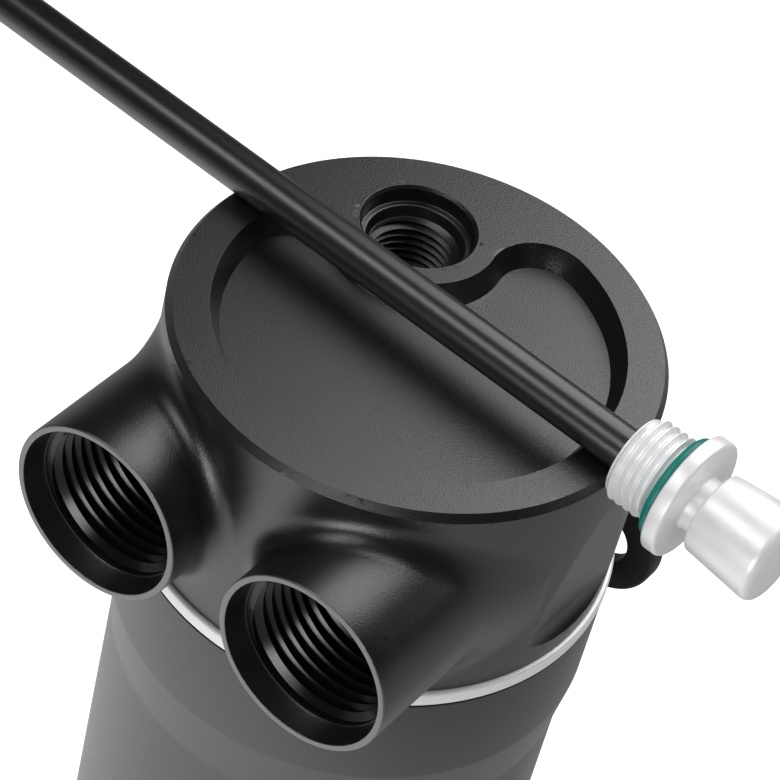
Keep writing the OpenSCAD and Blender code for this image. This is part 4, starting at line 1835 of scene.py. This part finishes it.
@dataclass
class Studio:
    """White floor, soft lamps and a surround that lights matt surfaces more than it shows in shiny ones.

    Attributes:
        floor_side: Side of the floor, in metres.
        floor_colour: The floor's own colour.
        pool_centre: Middle of the pool of light on the floor, in metres.
        pool: Distances from that middle, in metres, between which the floor fades in mirrored rays.
        pool_glow: How bright mirrored rays see the floor, near the can and far from it.
        ambient: How bright the surround is for matt surfaces.
        mirrored: How bright the surround is in shiny surfaces.
        lamps: The softboxes.
    """

    floor_side: float = 6.0
    floor_colour: tuple[float, float, float] = (0.3, 0.3, 0.3)
    pool_centre: tuple[float, float, float] = (-0.1, -0.14, 0.0)
    pool: tuple[float, float] = (0.08, 0.36)
    pool_glow: tuple[float, float] = (0.72, 0.0)
    ambient: float = 1.0
    mirrored: float = 0.02
    lamps: Sequence[SoftLamp] = (
        SoftLamp("back_softbox", (0.018, 0.2, 0.235), distance=0.32, size=(0.26, 0.36), power=0.62),
        SoftLamp("front_strip", (-0.325, -0.483, 0.813), distance=0.6, size=(0.5, 0.19), power=0.75),
        SoftLamp("front_panel", (0.17, -0.97, 0.09), distance=0.5, size=(0.3, 0.1), power=0.62),
    )

    def floor(self) -> None:
        """A plain floor that the camera sees as white, and mirrored rays as a pool of light round the can."""
        bpy.ops.mesh.primitive_plane_add(size=self.floor_side)
        floor = bpy.context.active_object
        floor.name = "studio_floor"
        material = bpy.data.materials.new("studio_floor")
        material.use_nodes = True
        graph = Graph(material.node_tree)
        matt = graph.add("ShaderNodeBsdfDiffuse", Color=(*self.floor_colour, 1))
        place = graph.add("ShaderNodeTexCoord").outputs["Object"]
        reach = graph.add("ShaderNodeVectorMath", place, self.pool_centre, operation="DISTANCE")
        fade = graph.add("ShaderNodeMapRange", Value=reach.outputs["Value"],
                         From_Min=self.pool[0], From_Max=self.pool[1],
                         To_Min=self.pool_glow[0], To_Max=self.pool_glow[1])
        fade.interpolation_type = "SMOOTHSTEP"
        ray = graph.add("ShaderNodeLightPath")
        mirrored = graph.add("ShaderNodeMath", ray.outputs["Is Glossy Ray"], fade.outputs["Result"],
                             operation="MULTIPLY")
        seen = graph.add("ShaderNodeMath", ray.outputs["Is Camera Ray"], mirrored.outputs[0], operation="ADD")
        white = graph.add("ShaderNodeEmission", Strength=seen.outputs[0])
        both = graph.add("ShaderNodeAddShader", matt.outputs[0], white.outputs[0])
        graph.add("ShaderNodeOutputMaterial", Surface=both.outputs[0])
        floor.data.materials.append(material)

    def sky(self) -> None:
        """A surround that the camera sees as white, and shiny surfaces as dark."""
        world = bpy.data.worlds.new("studio_surround")
        bpy.context.scene.world = world
        world.use_nodes = True
        graph = Graph(world.node_tree)
        ray = graph.add("ShaderNodeLightPath")
        shiny = graph.add("ShaderNodeMapRange", Value=ray.outputs["Is Glossy Ray"],
                          To_Min=self.ambient, To_Max=self.mirrored)
        strength = graph.add("ShaderNodeMath", shiny.outputs["Result"], ray.outputs["Is Camera Ray"],
                             operation="MAXIMUM")
        light = graph.add("ShaderNodeBackground", Color=(1, 1, 1, 1), Strength=strength.outputs[0])
        graph.add("ShaderNodeOutputWorld", Surface=light.outputs[0])

    def build(self, top: float) -> None:
        """Makes floor, surround and lamps.

        Args:
            top: Height of the head's top face.
        """
        bpy.context.scene.view_settings.view_transform = "Standard"
        self.floor()
        self.sky()
        for lamp in self.lamps:
            lamp.build(Vector((0, 0, top * MM)))
        log.info("studio ready")


def corners(box: Sequence[Vector]) -> list[list[float]]:
    """A box as plain lists of numbers."""
    return [list(corner) for corner in box]


def main() -> None:
    """Builds the whole object, the studio and the camera."""
    logging.basicConfig(level=logging.INFO, format="%(name)s: %(message)s")
    finishes = Finishes()
    head_sizes = HeadSizes()
    Viewpoint().build(head_sizes.top)
    Head(head_sizes, finishes).build()
    Reservoir(ReservoirSizes(), finishes).build()
    Dipstick(DipstickSizes(), head_sizes.top, finishes).build()
    Bracket(BracketSizes(), finishes).build()
    FilterStack(finishes).build()
    Studio().build(head_sizes.top)


if __name__ == "__main__":
    main()
